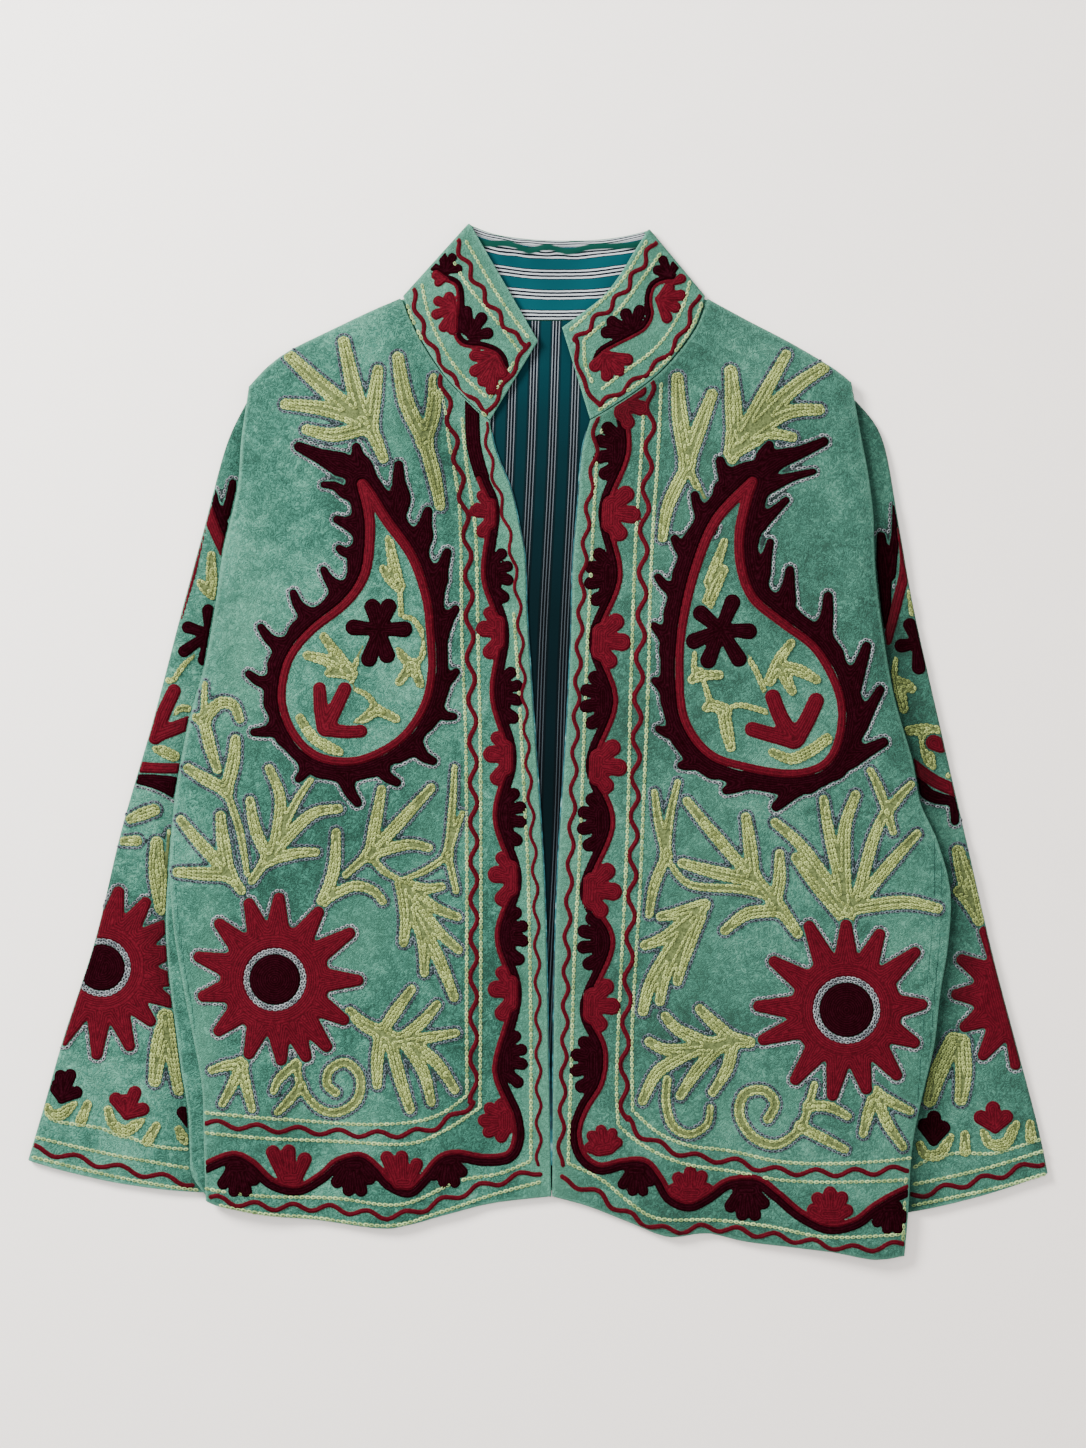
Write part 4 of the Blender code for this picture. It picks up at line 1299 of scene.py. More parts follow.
# Lobes of a border flower, out from the vine and along it: root, tip, width
LOBES = {
    "wide": [(4, 6, 12.5, 18.5, 10), (4, 1, 19.5, 4, 13), (4, -6, 12.5, -18.5, 12)],
    "broad": [(5, 4, 19, 17, 12.8), (5, 0, 25, -1.5, 13.4), (4, -5, 13.5, -18.5, 12.2)],
    "slim": [(3, 9, 14, 19.5, 9.4), (4, 4, 19.5, 8, 9.4), (4, -2, 20, -4, 9.4), (3, -8, 16, -19.5, 9.6)],
    "full": [(3, 8, 15.5, 19.5, 10), (4, 4, 22, 8.5, 10), (4, -2, 22.5, -4.5, 10), (3, -8, 18, -18, 10)],
    "cup": [
        (5, 4, 12.5, 15, 9.4), (5, 3, 22, 10.5, 9.4), (5, 0, 26.5, 0.5, 9.6), (5, -3, 23, -9, 9.4),
        (5, -4, 12.5, -14.5, 9.4),
    ],
    "tall": [(4, 4, 28.5, 13.5, 10.2), (4, 0, 29, 1.3, 10.2), (4, -4, 23, -11.5, 10.2)],
    "fan": [(3, 4, 16, 14, 9.4), (3, 2, 25, 6.5, 9.4), (3, -1, 25, -3.5, 9.2), (3, -4, 19, -13, 9.4)],
}
# The body that the petals grow from: first end, last end, width
BODIES = {
    "wide": (3.5, 8, 3.5, -8, 11), "broad": (5, 6, 4.5, -7.5, 14), "slim": (5, 8, 5, -8, 12),
    "full": (6, 8, 6, -8, 13), "cup": (8, 4.5, 8, -4.5, 13), "tall": (6, 3.5, 6, -3.5, 11),
    "fan": (4, 4.5, 4, -4.5, 11),
}


def bloom(sewing, thread, shape, centre, heading, size):
    """A border flower on its vine, towards the heading in degrees."""
    angle = math.radians(heading)
    out = (math.cos(angle), math.sin(angle))
    turn = 1.0 if out[0] >= -1e-6 else -1.0
    side = (-out[1] * turn, out[0] * turn)

    def placed(u, v):
        return centre[0] + size * (u * out[0] + v * side[0]), centre[1] + size * (u * out[1] + v * side[1])

    *ends, body = BODIES[shape]
    strokes = [([placed(*ends[:2]), placed(*ends[2:])], (body * size,))]
    for *root, tip_out, tip_along, width in LOBES[shape]:
        strokes.append(tapered((*placed(tip_out, tip_along), *placed(*root), width * size), LOBE_WIDTHS))
    sewing.sew(thread, strokes, blend=0.3, outlined=False)


def sunburst(sewing, centre, tips, disc, ring, valley):
    """Red rays round a maroon disc with a grey ring."""
    strokes = [([centre, centre], (2 * valley,))]
    for tip in tips:
        reach = math.dist(centre, tip)
        root = tuple(c + (t - c) * (valley - RAY_ROOT) / reach for c, t in zip(centre, tip))
        strokes.append((drawn_in([tip, root], RAY_WIDTHS[0]), RAY_WIDTHS))
    sewing.sew("red", strokes, blend=1.8)
    sewing.carve_disc("red", centre, ring + GROOVE)
    sewing.sew_ring("grey", centre, (disc + ring) / 2, ring - disc)
    sewing.sew_ring("maroon", centre, 0.0, 2 * disc)


def wavy(points, rise, period, phase=0.0):
    """A line that waves to both sides of the curve through the points."""
    curve = spline(points, 8)
    marks = lengths_along(curve)
    count = max(4, round(marks[-1] / (period / 6)))
    places = np.linspace(0, marks[-1], count)
    base = points_at(curve, marks, places)
    drift = 0.5 * np.sin(places / (period * 1.7) + phase * 2)
    waves = rise * np.sin(2 * math.pi * places / period + phase + drift)
    return base + leftward(np.gradient(base, axis=0)) * waves[:, None]


def red_line(sewing, points, rise, period, phase=0.0, width=3.6):
    line = [tuple(p) for p in wavy(points, rise, period, phase)]
    sewing.sew("red", [(line, (width,))], outlined=False)


def vine(sewing, turns, red_side, width=9.0, red_from=0):
    """A maroon stem with a red side. red_side is 1 where red is to the left of its way; the stem is all
    maroon up to the turn with the number red_from."""
    steps = 5
    curve = spline(turns, steps)
    for thread, part, side in (("red", VINE_RED, red_side), ("maroon", VINE_MAROON, -red_side)):
        half = moved_out(curve, side * width * (1 - part) / 2)
        if thread == "red":
            half = half[red_from * steps:]
        sewing.sew(thread, [([tuple(p) for p in half], (width * part,))], outlined=False)
    if red_from:
        sewing.sew("maroon", [(turns[:red_from + 1], (width * VINE_PLAIN,))], outlined=False)


# Front on the wearer's right
RIGHT_PAISLEY = [
    (-122, 178.5), (-117, 172), (-105, 153), (-88, 129), (-78, 100.5), (-75, 75), (-74, 48), (-79.5, 24),
    (-95, 2), (-118.5, -11.5), (-139, -14), (-157.5, -8), (-171, 7), (-178, 27.5), (-176, 48), (-169.5, 63),
    (-156, 78), (-135.5, 94), (-123.5, 109), (-118, 126), (-117, 155),
]
# Thorns: tip, root, width
RIGHT_THORNS = [
    ((-169, 206), (-132, 190), 9), ((-127, 207), (-121, 190), 8), ((-151, 178.5), (-132, 173), 6),
    ((-142, 155), (-127, 150), 7), ((-140, 135), (-127, 130), 7), ((-150, 121), (-139, 104), 6.5),
    ((-171, 105), (-160, 85), 7), ((-194, 81), (-178, 63), 7), ((-203, 48), (-184, 38), 7),
    ((-200, 6), (-178, 9), 7), ((-124, -45), (-136, -22), 8), ((-96, -30), (-112, -18), 7.5),
    ((-71, -15), (-87, -4), 7.5), ((-56.5, 17), (-71, 20), 6.5), ((-55.5, 50), (-67, 39), 6.5),
    ((-56, 94), (-66, 82), 7), ((-62.5, 134), (-69, 115), 7.5), ((-76, 163), (-81, 140), 8),
    ((-97, 195), (-96, 168), 8), ((-168, -28), (-158, -14), 7),
]
RIGHT_FLOWER = (-110.5, 77.5)
RIGHT_FLOWER_TIPS = [(-116.5, 98), (-102, 98), (-88, 78), (-103.5, 55), (-119, 52.5), (-133, 79.5)]
RIGHT_TULIP = [
    (-152, 40.5, -151, 22, -149, 10, 9.4), (-132.5, 40, -140, 24, -147, 10, 9.8),
    (-119, 7, -134, 6.5, -147, 8, 9),
]
# Leaves: each inner list is one spray. A leaf's row: x and y from its tip to the joint, then its width.
# First those inside the paisley, without an outline.
RIGHT_INNER_LEAVES = [
    [(-104, 144, -101, 126, -96.5, 109, 8.2), (-109.5, 122.5, -103, 113, -96.5, 107, 7.8)],
    [(-96.3, 110, -95.2, 88, 4.6)],
    [(-95, 87, -86.2, 84, -79.4, 72, -81, 58.5, -88, 52.4, 4.6), (-99.5, 65, -88.3, 52.4, 8.2),
     (-98.5, 38.5, -88.3, 52.4, 8.4), (-80.5, 36.5, -87, 52.4, 8.6)],
    [(-151, 75.5, -141, 62, -129.5, 47.5, 8.4), (-164, 60.5, -147, 56, -130, 47, 8.8),
     (-149, 47, -131, 47, 7.6)],
    [(-120, 67.5, -129, 48, -129.4, 36.5, 4.6)],
    [(-129.4, 37, -119, 32, -114, 24.5, -118, 17, 4.6), (-128.5, 10.5, -115, 20, 7.8),
     (-95.5, 14, -112, 22, 8.4)],
    [(-167.5, 19, -156.5, 3, -139, -8, 8.6)],
]
RIGHT_LEAVES = [
    [(-177, 272, -150, 247, -120, 222, 11.5), (-136.5, 283, -127, 242, -118, 218, 11),
     (-111, 263, -114, 240, -116, 220, 10), (-180, 235, -148, 231, -120, 222, 10.5),
     (-165, 217.5, -142, 213, -120, 218, 10), (-106, 193, -113, 210, -120, 224, 9.5)],
    [(-98.5, 272, -92, 237, -79, 209, 11), (-72, 257, -73, 230, -79, 209, 10.5),
     (-67.5, 160, -72, 184, -79, 209, 10)],
    [(-232, 42, -232.5, 15.5, 5.5), (-206, 12, -212, 25, -222, 26, -232, 15, 8.5),
     (-222, -23, -228, -4, -232.5, 15, 8.5), (-242, 18, -232.5, 14, 7)],
    [(-247, -17, -232, -26, -217, -34, 9), (-210, 5, -212, -15, -217, -34, 9.5),
     (-202, -95, -207.5, -62, -217, -34, 5.5)],
    [(-251, -52, -236, -70, -216, -92, 9), (-221, -48, -219, -70, -215, -92, 9.5),
     (-255, -91, -236, -92, -216, -93, 9.5), (-204, -107, -215, -92, 9)],
    [(-188, -16, -179, -42, -184, -78, 8.5), (-201, -38, -196, -63, -187, -82, 8.5),
     (-156, -24, -168, -42, -182, -70, 6), (-135, -46, -159, -52, -186, -80, 8.5),
     (-151, -77, -168, -78, -188, -83, 8), (-201, -100, -188, -81, 8)],
    [(-140, -60, -142, -90, -150, -112, 8.5), (-106, -114, -115, -104, -129, -101, -148, -110, 7.5)],
    [(-108, -30, -112, -52, -117, -79, 8.5), (-72, -30, -93, -53, -117, -79, 8.5),
     (-73, -75, -91, -72, -117, -79, 8), (-136, -95, -117, -78, 7), (-96, -97, -108, -90, -117, -79, 5.5)],
    [(-58, -16, -60, -50, -63, -79, 5.5), (-52, -48, -58, -64, -63, -79, 5), (-56.5, -107, -63, -79, 6),
     (-95, -97, -78, -90, -63, -80, 5)],
    [(-94, -144, -92, -121, -95, -100, 9), (-64, -101, -80, -103, -95, -99, 8),
     (-53, -124, -72, -116, -93, -101, 8), (-53, -148, -72, -130, -90, -106, 8.5),
     (-57, -182, -70, -150, -84, -124, 9), (-79, -165, -80, -140, -87, -116, 8.5)],
    [(-86, -170, -99, -188, -109, -203, 8.5), (-68, -181, -81, -196, -95, -207, 8.5),
     (-54, -203, -72, -206, -92, -209, 8), (-56, -246, -70, -225, -88, -209, 8.5),
     (-73.5, -255, -80, -230, -93, -210, 8.5), (-88, -260, -96, -235, -103, -208, 9),
     (-112, -243, -112, -224, -110, -205, 9), (-134, -186, -120, -198, -98, -208, 10)],
    [(-168, -222, -165, -240, -154, -255, -140, -259, -126, -250, -124, -234, -134, -224, -145, -229, -147,
      -239, -141, -245, 6.6),
     (-185, -246, -180, -235, -168, -224, 7), (-183, -260, -174, -251, -165, -240, 7)],
    [(-230, -230, -218, -226, -206, -224, 7.5), (-221, -255, -213, -240, -206, -224, 7.5),
     (-198, -259, -203, -240, -206, -224, 7.5)],
]
RIGHT_SUN = (-183.0, -165.8)
RIGHT_SUN_TIPS = [
    (-121.9, -166.7), (-128.1, -131.9), (-150.9, -116.1), (-179.9, -105.9), (-202, -109.9), (-224, -124.9),
    (-239.1, -149.3), (-236.3, -178.3), (-224.5, -203.9), (-202, -220.6), (-178.3, -225.2),
    (-160.2, -222.9), (-145.1, -215.5), (-132.3, -195.8),
]
RIGHT_VINE = [
    (-46, 242), (-45, 208), (-39, 184), (-31, 160), (-35.5, 115), (-24.4, 77), (-29.5, 32), (-19, -11),
    (-27.5, -53), (-15.5, -96), (-26, -136), (-15.5, -176), (-26.5, -220), (-27, -234), (-21.5, -248),
    (-15.5, -261.5), (-14, -278), (-20.5, -290), (-38, -292.2), (-56, -289), (-68.3, -292.5),
    (-79.3, -305.3), (-89.7, -314), (-103.9, -308.6), (-113.5, -297.7), (-124.5, -290.5), (-139.6, -294.5),
    (-150.6, -304), (-167, -312.5), (-185, -308), (-200, -294), (-213.7, -289.5), (-236, -299),
]
# Border flowers: thread, shape, place on the vine, heading in degrees, size
RIGHT_BLOOMS = [
    ("red", "wide", (-30.5, 158.5), 180, 0.84), ("maroon", "slim", (-35.5, 115.5), 0, 0.9),
    ("red", "wide", (-24.5, 75.5), 180, 0.92), ("maroon", "slim", (-29.5, 32), 0, 0.94),
    ("red", "wide", (-19, -12), 180, 0.95), ("maroon", "slim", (-27.5, -53), 0, 0.96),
    ("red", "wide", (-15.5, -96), 180, 0.96), ("maroon", "slim", (-26, -136), 0, 0.96),
    ("red", "wide", (-15.5, -176), 180, 0.96), ("maroon", "slim", (-26.5, -222), 0, 0.95),
    ("red", "cup", (-15.5, -265), 180, 0.98), ("red", "tall", (-94, -313), 90, 0.94),
    ("red", "tall", (-172.5, -310.5), 90, 1), ("maroon", "fan", (-63, -289), 270, 0.88),
    ("maroon", "fan", (-129, -292), 270, 1), ("maroon", "fan", (-208.5, -293), 270, 0.95),
]
# Red lines: points, rise, period, phase, and width where it isn't the usual one
RIGHT_RED_LINES = [
    ([(-36.9, 222), (-32.5, 192), (-26.2, 168), (-20.4, 144), (-15.5, 113), (-13, 86), (-8, 0), (-2, -97),
      (0, -200), (0.5, -296)],
     1.7, 25, 0.6, 2.6),
    ([(-68, 262), (-62, 228), (-57, 200), (-52, 165), (-49, 129), (-47.5, 70), (-45.4, 0), (-44.8, -97),
      (-45, -180), (-45, -252)],
     2.6, 28, 2.4),
    ([(-45, -252), (-66, -266), (-88, -273), (-131, -273.5), (-180, -270), (-240, -265)], 2.2, 27, 0),
    ([(1, -300), (-40, -311), (-70, -322), (-100, -331), (-145, -326), (-190, -324), (-228, -318)], 2.4, 27,
     1.2),
]
# Rows of cream chain stitches
RIGHT_CREAM_LINES = [
    [(-53, 226), (-50, 194), (-46.5, 170), (-43.2, 140), (-41.8, 70), (-40.3, 0), (-39.8, -97), (-40, -180),
     (-40.5, -256)],
    [(-41, -256), (-66, -272), (-90, -280.5), (-131, -279.5), (-180, -277), (-240, -272)],
    [(-69, 250), (-64.5, 229), (-62, 208), (-57.5, 184), (-54.8, 163), (-53.6, 129), (-53, 70), (-50.4, 0),
     (-49.6, -97), (-49.8, -180), (-49.5, -247)],
    [(-49.5, -247), (-66, -259), (-88, -265.5), (-131, -267), (-180, -263), (-240, -258)],
    [(-17, 90), (-13, 30), (-9.5, -40), (-6.8, -97), (-5, -200), (-5, -293)],
    [(-5, -293), (-28, -302), (-56, -307), (-95, -323), (-140, -319), (-190, -317), (-236, -311)],
    [(2, -307.5), (-30, -316), (-68, -328.5), (-104, -338), (-157, -332.5), (-190, -329.5), (-222, -323)],
]

# Front on the wearer's left
LEFT_PAISLEY = [
    (149, 180), (124.5, 154.5), (110.5, 122.5), (101, 83.5), (98.5, 50), (102, 15.5), (119, -8.5),
    (145, -18), (178.5, -22.5), (201, -14.5), (210.5, 7), (209.5, 33), (194, 63), (170, 82), (150, 98.5),
    (141.5, 119), (140, 143), (145, 168),
]
LEFT_THORNS = [
    ((201.5, 209.5), (163, 194), 8), ((162.5, 208), (153, 190), 7.5), ((193.5, 188), (157, 177), 5.6),
    ((174, 169), (152.5, 150), 6.4), ((162, 140.5), (155, 113), 6.4), ((175.5, 121.5), (172, 94), 7.6),
    ((202, 103.5), (198, 72), 8), ((229.5, 68.5), (217, 36), 8), ((239.5, 38), (220, 6), 7.5),
    ((243, 0.5), (214, -13), 8.5), ((163.5, -47.5), (180, -30), 8.5), ((128.5, -35), (150, -26), 7.5),
    ((97.5, -17), (114, -14), 7.5), ((82, 9.5), (97, 4), 6.5), ((79.5, 43.5), (94, 34), 6.5),
    ((79.5, 82), (93.5, 69), 7), ((82, 116), (99, 101), 7), ((94, 143), (106, 127), 7.5),
    ((108.5, 173.5), (119, 150), 7.5), ((126, 197.5), (135, 172), 8),
]
LEFT_FLOWER = (127.0, 77.5)
LEFT_FLOWER_TIPS = [(137, 101), (151.5, 76), (142, 53), (116.5, 51.5), (104, 67.5), (109.5, 92)]
LEFT_TULIP = [
    (161.5, 35, 169, 16, 178, 2, 11), (195.5, 32.5, 188, 16, 180, 2, 11.4),
    (144.5, 9.5, 160, 5, 177, 0.5, 10.6),
]
LEFT_INNER_LEAVES = [
    [(130.5, 141.5, 125, 126, 118.5, 110, 7.6), (131, 122.5, 124, 110, 118.2, 96, 9.6)],
    [(136.7, 68.5, 149.8, 52, 157.4, 34.6, 4.4)],
    [(178, 71, 168, 57, 161, 42, 8.6), (197, 41, 182, 49, 168, 52, 9), (178.5, 31.5, 174, 40, 169, 51, 9)],
    [(109, 64, 108.4, 50, 4.6), (129.5, 46, 112, 46, 8.6), (104.5, 40.5, 113, 47, 8.4)],
    [(114, 44, 117, 36, 120.4, 24, 4.6), (113.5, 22.5, 122, 24.5, 131, 21.5, 9),
     (134.8, -8, 131.5, 6, 129.5, 18, 9.4)],
    [(130, 21.5, 141, 25, 161.8, 19.4, 4.4)], [(159.5, -6.5, 176, -12.3, 189, -7, 201, 1.5, 8.6)],
]
LEFT_LEAVES = [
    [(97, 258, 99, 226, 104, 194, 11.5), (123, 246, 113, 220, 104, 194, 10.5),
     (86, 138, 91, 165, 104, 192, 9), (120, 160, 112, 174, 104, 192, 5.5)],
    [(134, 263, 136, 236, 137, 208, 12), (175, 273, 160, 246, 142, 214, 9.5),
     (203, 263, 176, 244, 140, 208, 11.5), (200, 231, 172, 228, 140, 208, 10.5),
     (181, 211, 160, 213, 136, 200, 9), (131.5, 188, 137, 210, 13)],
    [(81, -33, 84, -56, 89.5, -80, 6.5), (98, -26, 92, -52, 89.5, -80, 6),
     (77, -124, 81, -101, 89.5, -80, 7.5)],
    [(101.5, -39, 120, -62, 146, -92, 8.5), (144, -49, 147, -70, 150, -94, 9.5),
     (97, -84, 122, -91, 150, -97, 9.5), (168, -75, 168, -96, 165, -112, 9),
     (127, -134, 146, -120, 168, -118, 9), (183, -137, 168, -116, 150, -95, 10)],
    [(90, -83, 106, -100, 140, -103, 160, -108, 6)],
    [(162, -54, 184, -74, 210, -110, 9), (177, -78, 192, -98, 212, -122, 9.5),
     (198, -37, 203, -66, 214, -112, 8.5), (222, -34, 213, -64, 214, -112, 9.5),
     (247, -40, 234, -66, 222, -110, 8.5), (266, -62, 246, -84, 226, -108, 8.5),
     (282, -117, 254, -112, 222, -116, 9.5), (214, -134, 216, -118, 12)],
    [(230, -18, 236, -30, 242, -46, 6.5), (262, -28, 252, -38, 243, -50, 7), (248, -66, 243, -50, 7)],
    [(82, -123, 98, -120, 116, -114, 9), (71, -144, 90, -136, 112, -118, 9.5),
     (72, -192, 80, -166, 104, -128, 10), (84, -185, 90, -160, 106, -128, 9),
     (96, -171, 103, -148, 113, -122, 9)],
    [(110, -184, 122, -196, 136, -208, 9), (86, -189, 99, -202, 122, -212, 9),
     (74, -208, 90, -215, 116, -214, 9), (71, -254, 84, -230, 108, -216, 9),
     (97, -250, 112, -228, 128, -212, 9), (120, -248, 132, -228, 136, -210, 8.5),
     (152, -210, 136, -209, 118, -213, 11)],
    [(120.5, -253, 118, -267, 106, -274, 94, -268, 89.2, -252, 90, -236, 6.4)],
    [(193, -236, 188, -254, 182, -270, 166, -281, 149.5, -275.5, 140.5, -260.5, 144, -246, 157, -243, 165,
      -252, 160, -263, 7),
     (218, -262, 202, -254, 188, -254, 7.5), (216, -285, 198, -276, 182, -268, 7.5)],
    [(225, -276, 229, -260, 234, -244, 8), (256, -285, 243, -266, 234, -244, 8),
     (262, -259, 248, -252, 234, -244, 7.5)],
]
LEFT_SUN = (214.6, -186.8)
LEFT_SUN_TIPS = [
    (187.3, -125.7), (214.4, -124.6), (239.1, -131.3), (265, -144.9), (270.6, -183.1), (265, -211.3),
    (251.5, -234.9), (229, -245), (204.2, -249.5), (177.2, -238.3), (153.6, -209), (150.2, -184.3),
    (161.5, -151.6),
]
LEFT_VINE = [
    (54, 244), (61, 204), (46.5, 160.5), (54.8, 115), (39.5, 70.3), (51.7, 28), (37.5, -16.7),
    (49.8, -57.2), (33.3, -105), (49.8, -140), (33.3, -185), (44, -214), (42.5, -236.7), (31.6, -256),
    (26.4, -272.4), (30.2, -289), (42.6, -298), (59, -295), (74.1, -294.6), (83.7, -305.3), (92, -318.5),
    (105.7, -323.8), (119.4, -317.7), (133.1, -308.5), (152.3, -307), (166, -316.3), (182.5, -330),
    (201.7, -338.6), (220.9, -335), (234.6, -324.5), (248.3, -316.6), (264, -311),
]
LEFT_BLOOMS = [
    ("red", "broad", (56, 236), 350, 0.85), ("maroon", "full", (61, 202), 180, 0.98),
    ("red", "broad", (46.5, 159), 0, 0.98), ("maroon", "full", (54.8, 114), 180, 0.98),
    ("red", "broad", (39.5, 70), 0, 0.98), ("maroon", "full", (51.7, 28), 180, 0.98),
    ("red", "broad", (37.5, -17.5), 0, 0.96), ("maroon", "full", (49.8, -57.2), 180, 0.98),
    ("red", "broad", (33.3, -104), 0, 0.98), ("maroon", "full", (49.8, -140), 180, 0.98),
    ("red", "broad", (33.3, -184), 0, 0.94), ("maroon", "full", (44, -226), 180, 0.95),
    ("red", "cup", (47, -290.5), 100, 0.86), ("red", "cup", (106.5, -322.5), 90, 0.98),
    ("red", "cup", (203.5, -336.5), 90, 1), ("maroon", "fan", (68.5, -296), 270, 0.84),
    ("maroon", "fan", (145.5, -309), 270, 1), ("maroon", "fan", (245.5, -321), 270, 0.86),
]
LEFT_RED_LINES = [
    ([(40.5, 228), (39.5, 200), (36, 171), (33.5, 145), (30.5, 100), (28.8, 70), (26, 0), (24.3, -42),
      (22.1, -95), (19.9, -147), (18.8, -200), (17.2, -250), (15.5, -296)],
     1.9, 25, 1.4, 3.2),
    ([(78, 252), (78.6, 225), (77.1, 198), (74, 150), (72.4, 90), (69.6, 28), (68, -20), (66.9, -60),
      (65.1, -117), (62.4, -177), (59.8, -237), (61, -264)],
     2.8, 28.5, 0.2),
    ([(61.5, -264), (76, -277), (106, -289), (135, -293), (165, -299), (210, -300), (262, -297)], 2.3, 27,
     0.8),
    ([(16, -306), (40, -315), (62, -330), (90, -341), (120, -339.5), (157, -344), (190, -349), (220, -353),
      (256, -350)],
     2.3, 27, 2),
]
LEFT_CREAM_LINES = [
    [(46, 222), (41.5, 200), (38.6, 151), (36.3, 104), (34.4, 66), (32, 0), (30.4, -45), (28.2, -95),
     (25.4, -150), (24.2, -188), (23, -233), (21, -294)],
    [(20, -294), (44.5, -306), (64, -322), (84, -333), (120, -334), (160, -338), (200, -345), (256, -343)],
    [(73.5, 228), (72.4, 205), (70, 170), (68.2, 142), (66.7, 104), (65.6, 66), (64.2, 20), (63.2, -35),
     (60.8, -102), (57, -180), (54.8, -237), (56, -268)],
    [(56, -268), (72, -281), (100, -294), (135, -300), (180, -306.5), (262, -305)],
    [(86, 250), (83.7, 199), (80.6, 155), (78.2, 104), (77, 48), (75, -8), (73.5, -45), (71.2, -102),
     (68.2, -154), (65.6, -206), (66, -259)],
    [(67.5, -259), (84, -273), (106, -282), (135, -286), (170, -293), (210, -293.5), (264, -290)],
    [(256, -304), (254, -352)],
]

# Collar
COLLAR_VINES = [
    ([(-73, 325), (-65, 323), (-56.6, 319), (-54, 310.3), (-54.5, 297.4), (-57, 286.5), (-52, 277.8),
      (-38, 275.5), (-28, 271.2), (-23.3, 263.1), (-24.6, 252.3)],
     -1),
    ([(99, 322), (88.7, 322.1), (80.1, 317.8), (76.9, 308.1), (78, 297.4), (73.7, 288.8), (65.1, 283.4),
      (54.4, 278.1), (43.7, 271.6), (39.4, 262)],
     1),
]
# Collar flowers: thread, foot, tips of the petals, width
COLLAR_FLOWERS = [
    ("maroon", (-64.5, 327), [(-68, 342), (-58.5, 339.5), (-53, 330), (-75, 331.5)], 7.4),
    ("red", (-64, 322), [(-73.5, 326.5), (-72, 318.5)], 7),
    ("red", (-57.5, 302), [(-72.5, 308), (-74, 296.5), (-67.5, 286), (-60, 283.5), (-63.5, 312.5)], 8.6),
    ("maroon", (-47, 282), [(-50.5, 303), (-37.5, 298), (-31.5, 285), (-55.5, 293)], 9.6),
    ("red", (-29, 268), [(-47.5, 269), (-47, 256), (-40, 248), (-33, 241.5), (-23.5, 253)], 9.6),
    ("maroon", (92, 324), [(86, 338), (97, 334.5), (80.5, 329.5)], 7.8),
    ("red", (94, 319), [(102.5, 324)], 8.4),
    ("red", (83.5, 308), [(94, 318.5), (103, 311.5), (99, 301), (91.5, 292)], 9.2),
    ("maroon", (66.5, 284), [(72, 303.5), (60, 301), (48.5, 294), (44, 285)], 9.8),
    ("red", (46, 270), [(66, 265), (59, 255.5), (48.5, 251), (37.5, 258.5)], 10),
]
COLLAR_RED_LINES = [
    ([(-58, 350), (-50.5, 334), (-42, 318), (-33, 304), (-24, 292), (-15, 281), (-7.5, 277.5)], 2.2, 19,
     0.5),
    ([(-7.5, 277.5), (-14, 264), (-22, 251), (-34, 230)], 1.4, 22, 1),
    ([(-88, 316), (-85, 303), (-79.5, 286), (-70.5, 269), (-59, 252), (-46, 238), (-35, 229.5)], 1.8, 22,
     0.2),
    ([(82, 350), (75.5, 337), (65.5, 322), (54, 306.5), (42, 295.5), (31, 284), (26.5, 278.6)], 2.3, 19,
     0.9),
    ([(26.5, 278.6), (28, 262), (33, 248), (42.5, 234)], 1, 24, 0.4),
    ([(112, 312), (106.5, 297), (98, 280), (86, 266), (72, 254.5), (56, 243), (43, 234.5)], 1.8, 22, 1.5),
]
COLLAR_CREAM_LINES = [
    [(-61, 338), (-50, 319), (-39, 305), (-25.2, 288), (-12.5, 271)],
    [(-12.5, 271), (-23.1, 254), (-34, 239)],
    [(-50.5, 349), (-40, 331), (-30, 314), (-18, 296), (-6.5, 281)],
    [(-81, 319), (-77, 300), (-69.5, 281), (-56, 259), (-36, 240)],
    [(-91.5, 305), (-85, 288.5), (-74, 268), (-62, 250.5), (-48, 236), (-36, 227)],
    [(85.5, 340), (77, 328), (66, 313), (55, 299), (44, 290), (32, 279.5)],
    [(32, 279.5), (33, 262), (38, 250)],
    [(76, 349), (66, 332), (56, 318), (44, 306.5), (31, 294), (22, 286)],
    [(106, 321), (101, 303), (91, 285), (78, 270.5), (58, 256), (44, 245)],
    [(114.5, 306), (108, 290), (97, 273.5), (82, 258.5), (64, 245.5), (42, 230.5)],
]

# Sleeves
SLEEVE_RIGHT_LEAVES = [(-228, 133, -228, 118, -227, 104, 8), (-238, 113, -232, 106, -227, 102, 7.5)]
SLEEVE_RIGHT_STEMS = [
    [(-239, 61, -248, 52, -255.5, 40, 4.2), (-260, 44, -255, 40, 5)], [(-256, 18, -248, 23, -239, 21, 5.5)],
    [(-270, -3, -262, -7, -254, -10.5, 8.5)],
]
SLEEVE_RIGHT_BRANCHES = [
    [(-288, -56, -279, -52, -268, -48, 9)], [(-294, -70, -280, -69.5, 8)],
    [(-266, -66, -266, -90, -262, -116, 12), (-256, -60, -256, -90, -260, -114, 9)],
    [(-268, -242, -265, -218, -260, -192, 12), (-250, -248, -254, -222, -260, -196, 11)],
]
SLEEVE_RIGHT_SUN = (-304.5, -158.0)
SLEEVE_RIGHT_SUN_TIPS = [
    (-292, -102), (-272, -110), (-256, -126), (-250, -146), (-250, -168), (-254, -184), (-268, -198),
    (-284, -216), (-308, -222), (-333, -212), (-308, -118), (-340, -180),
]
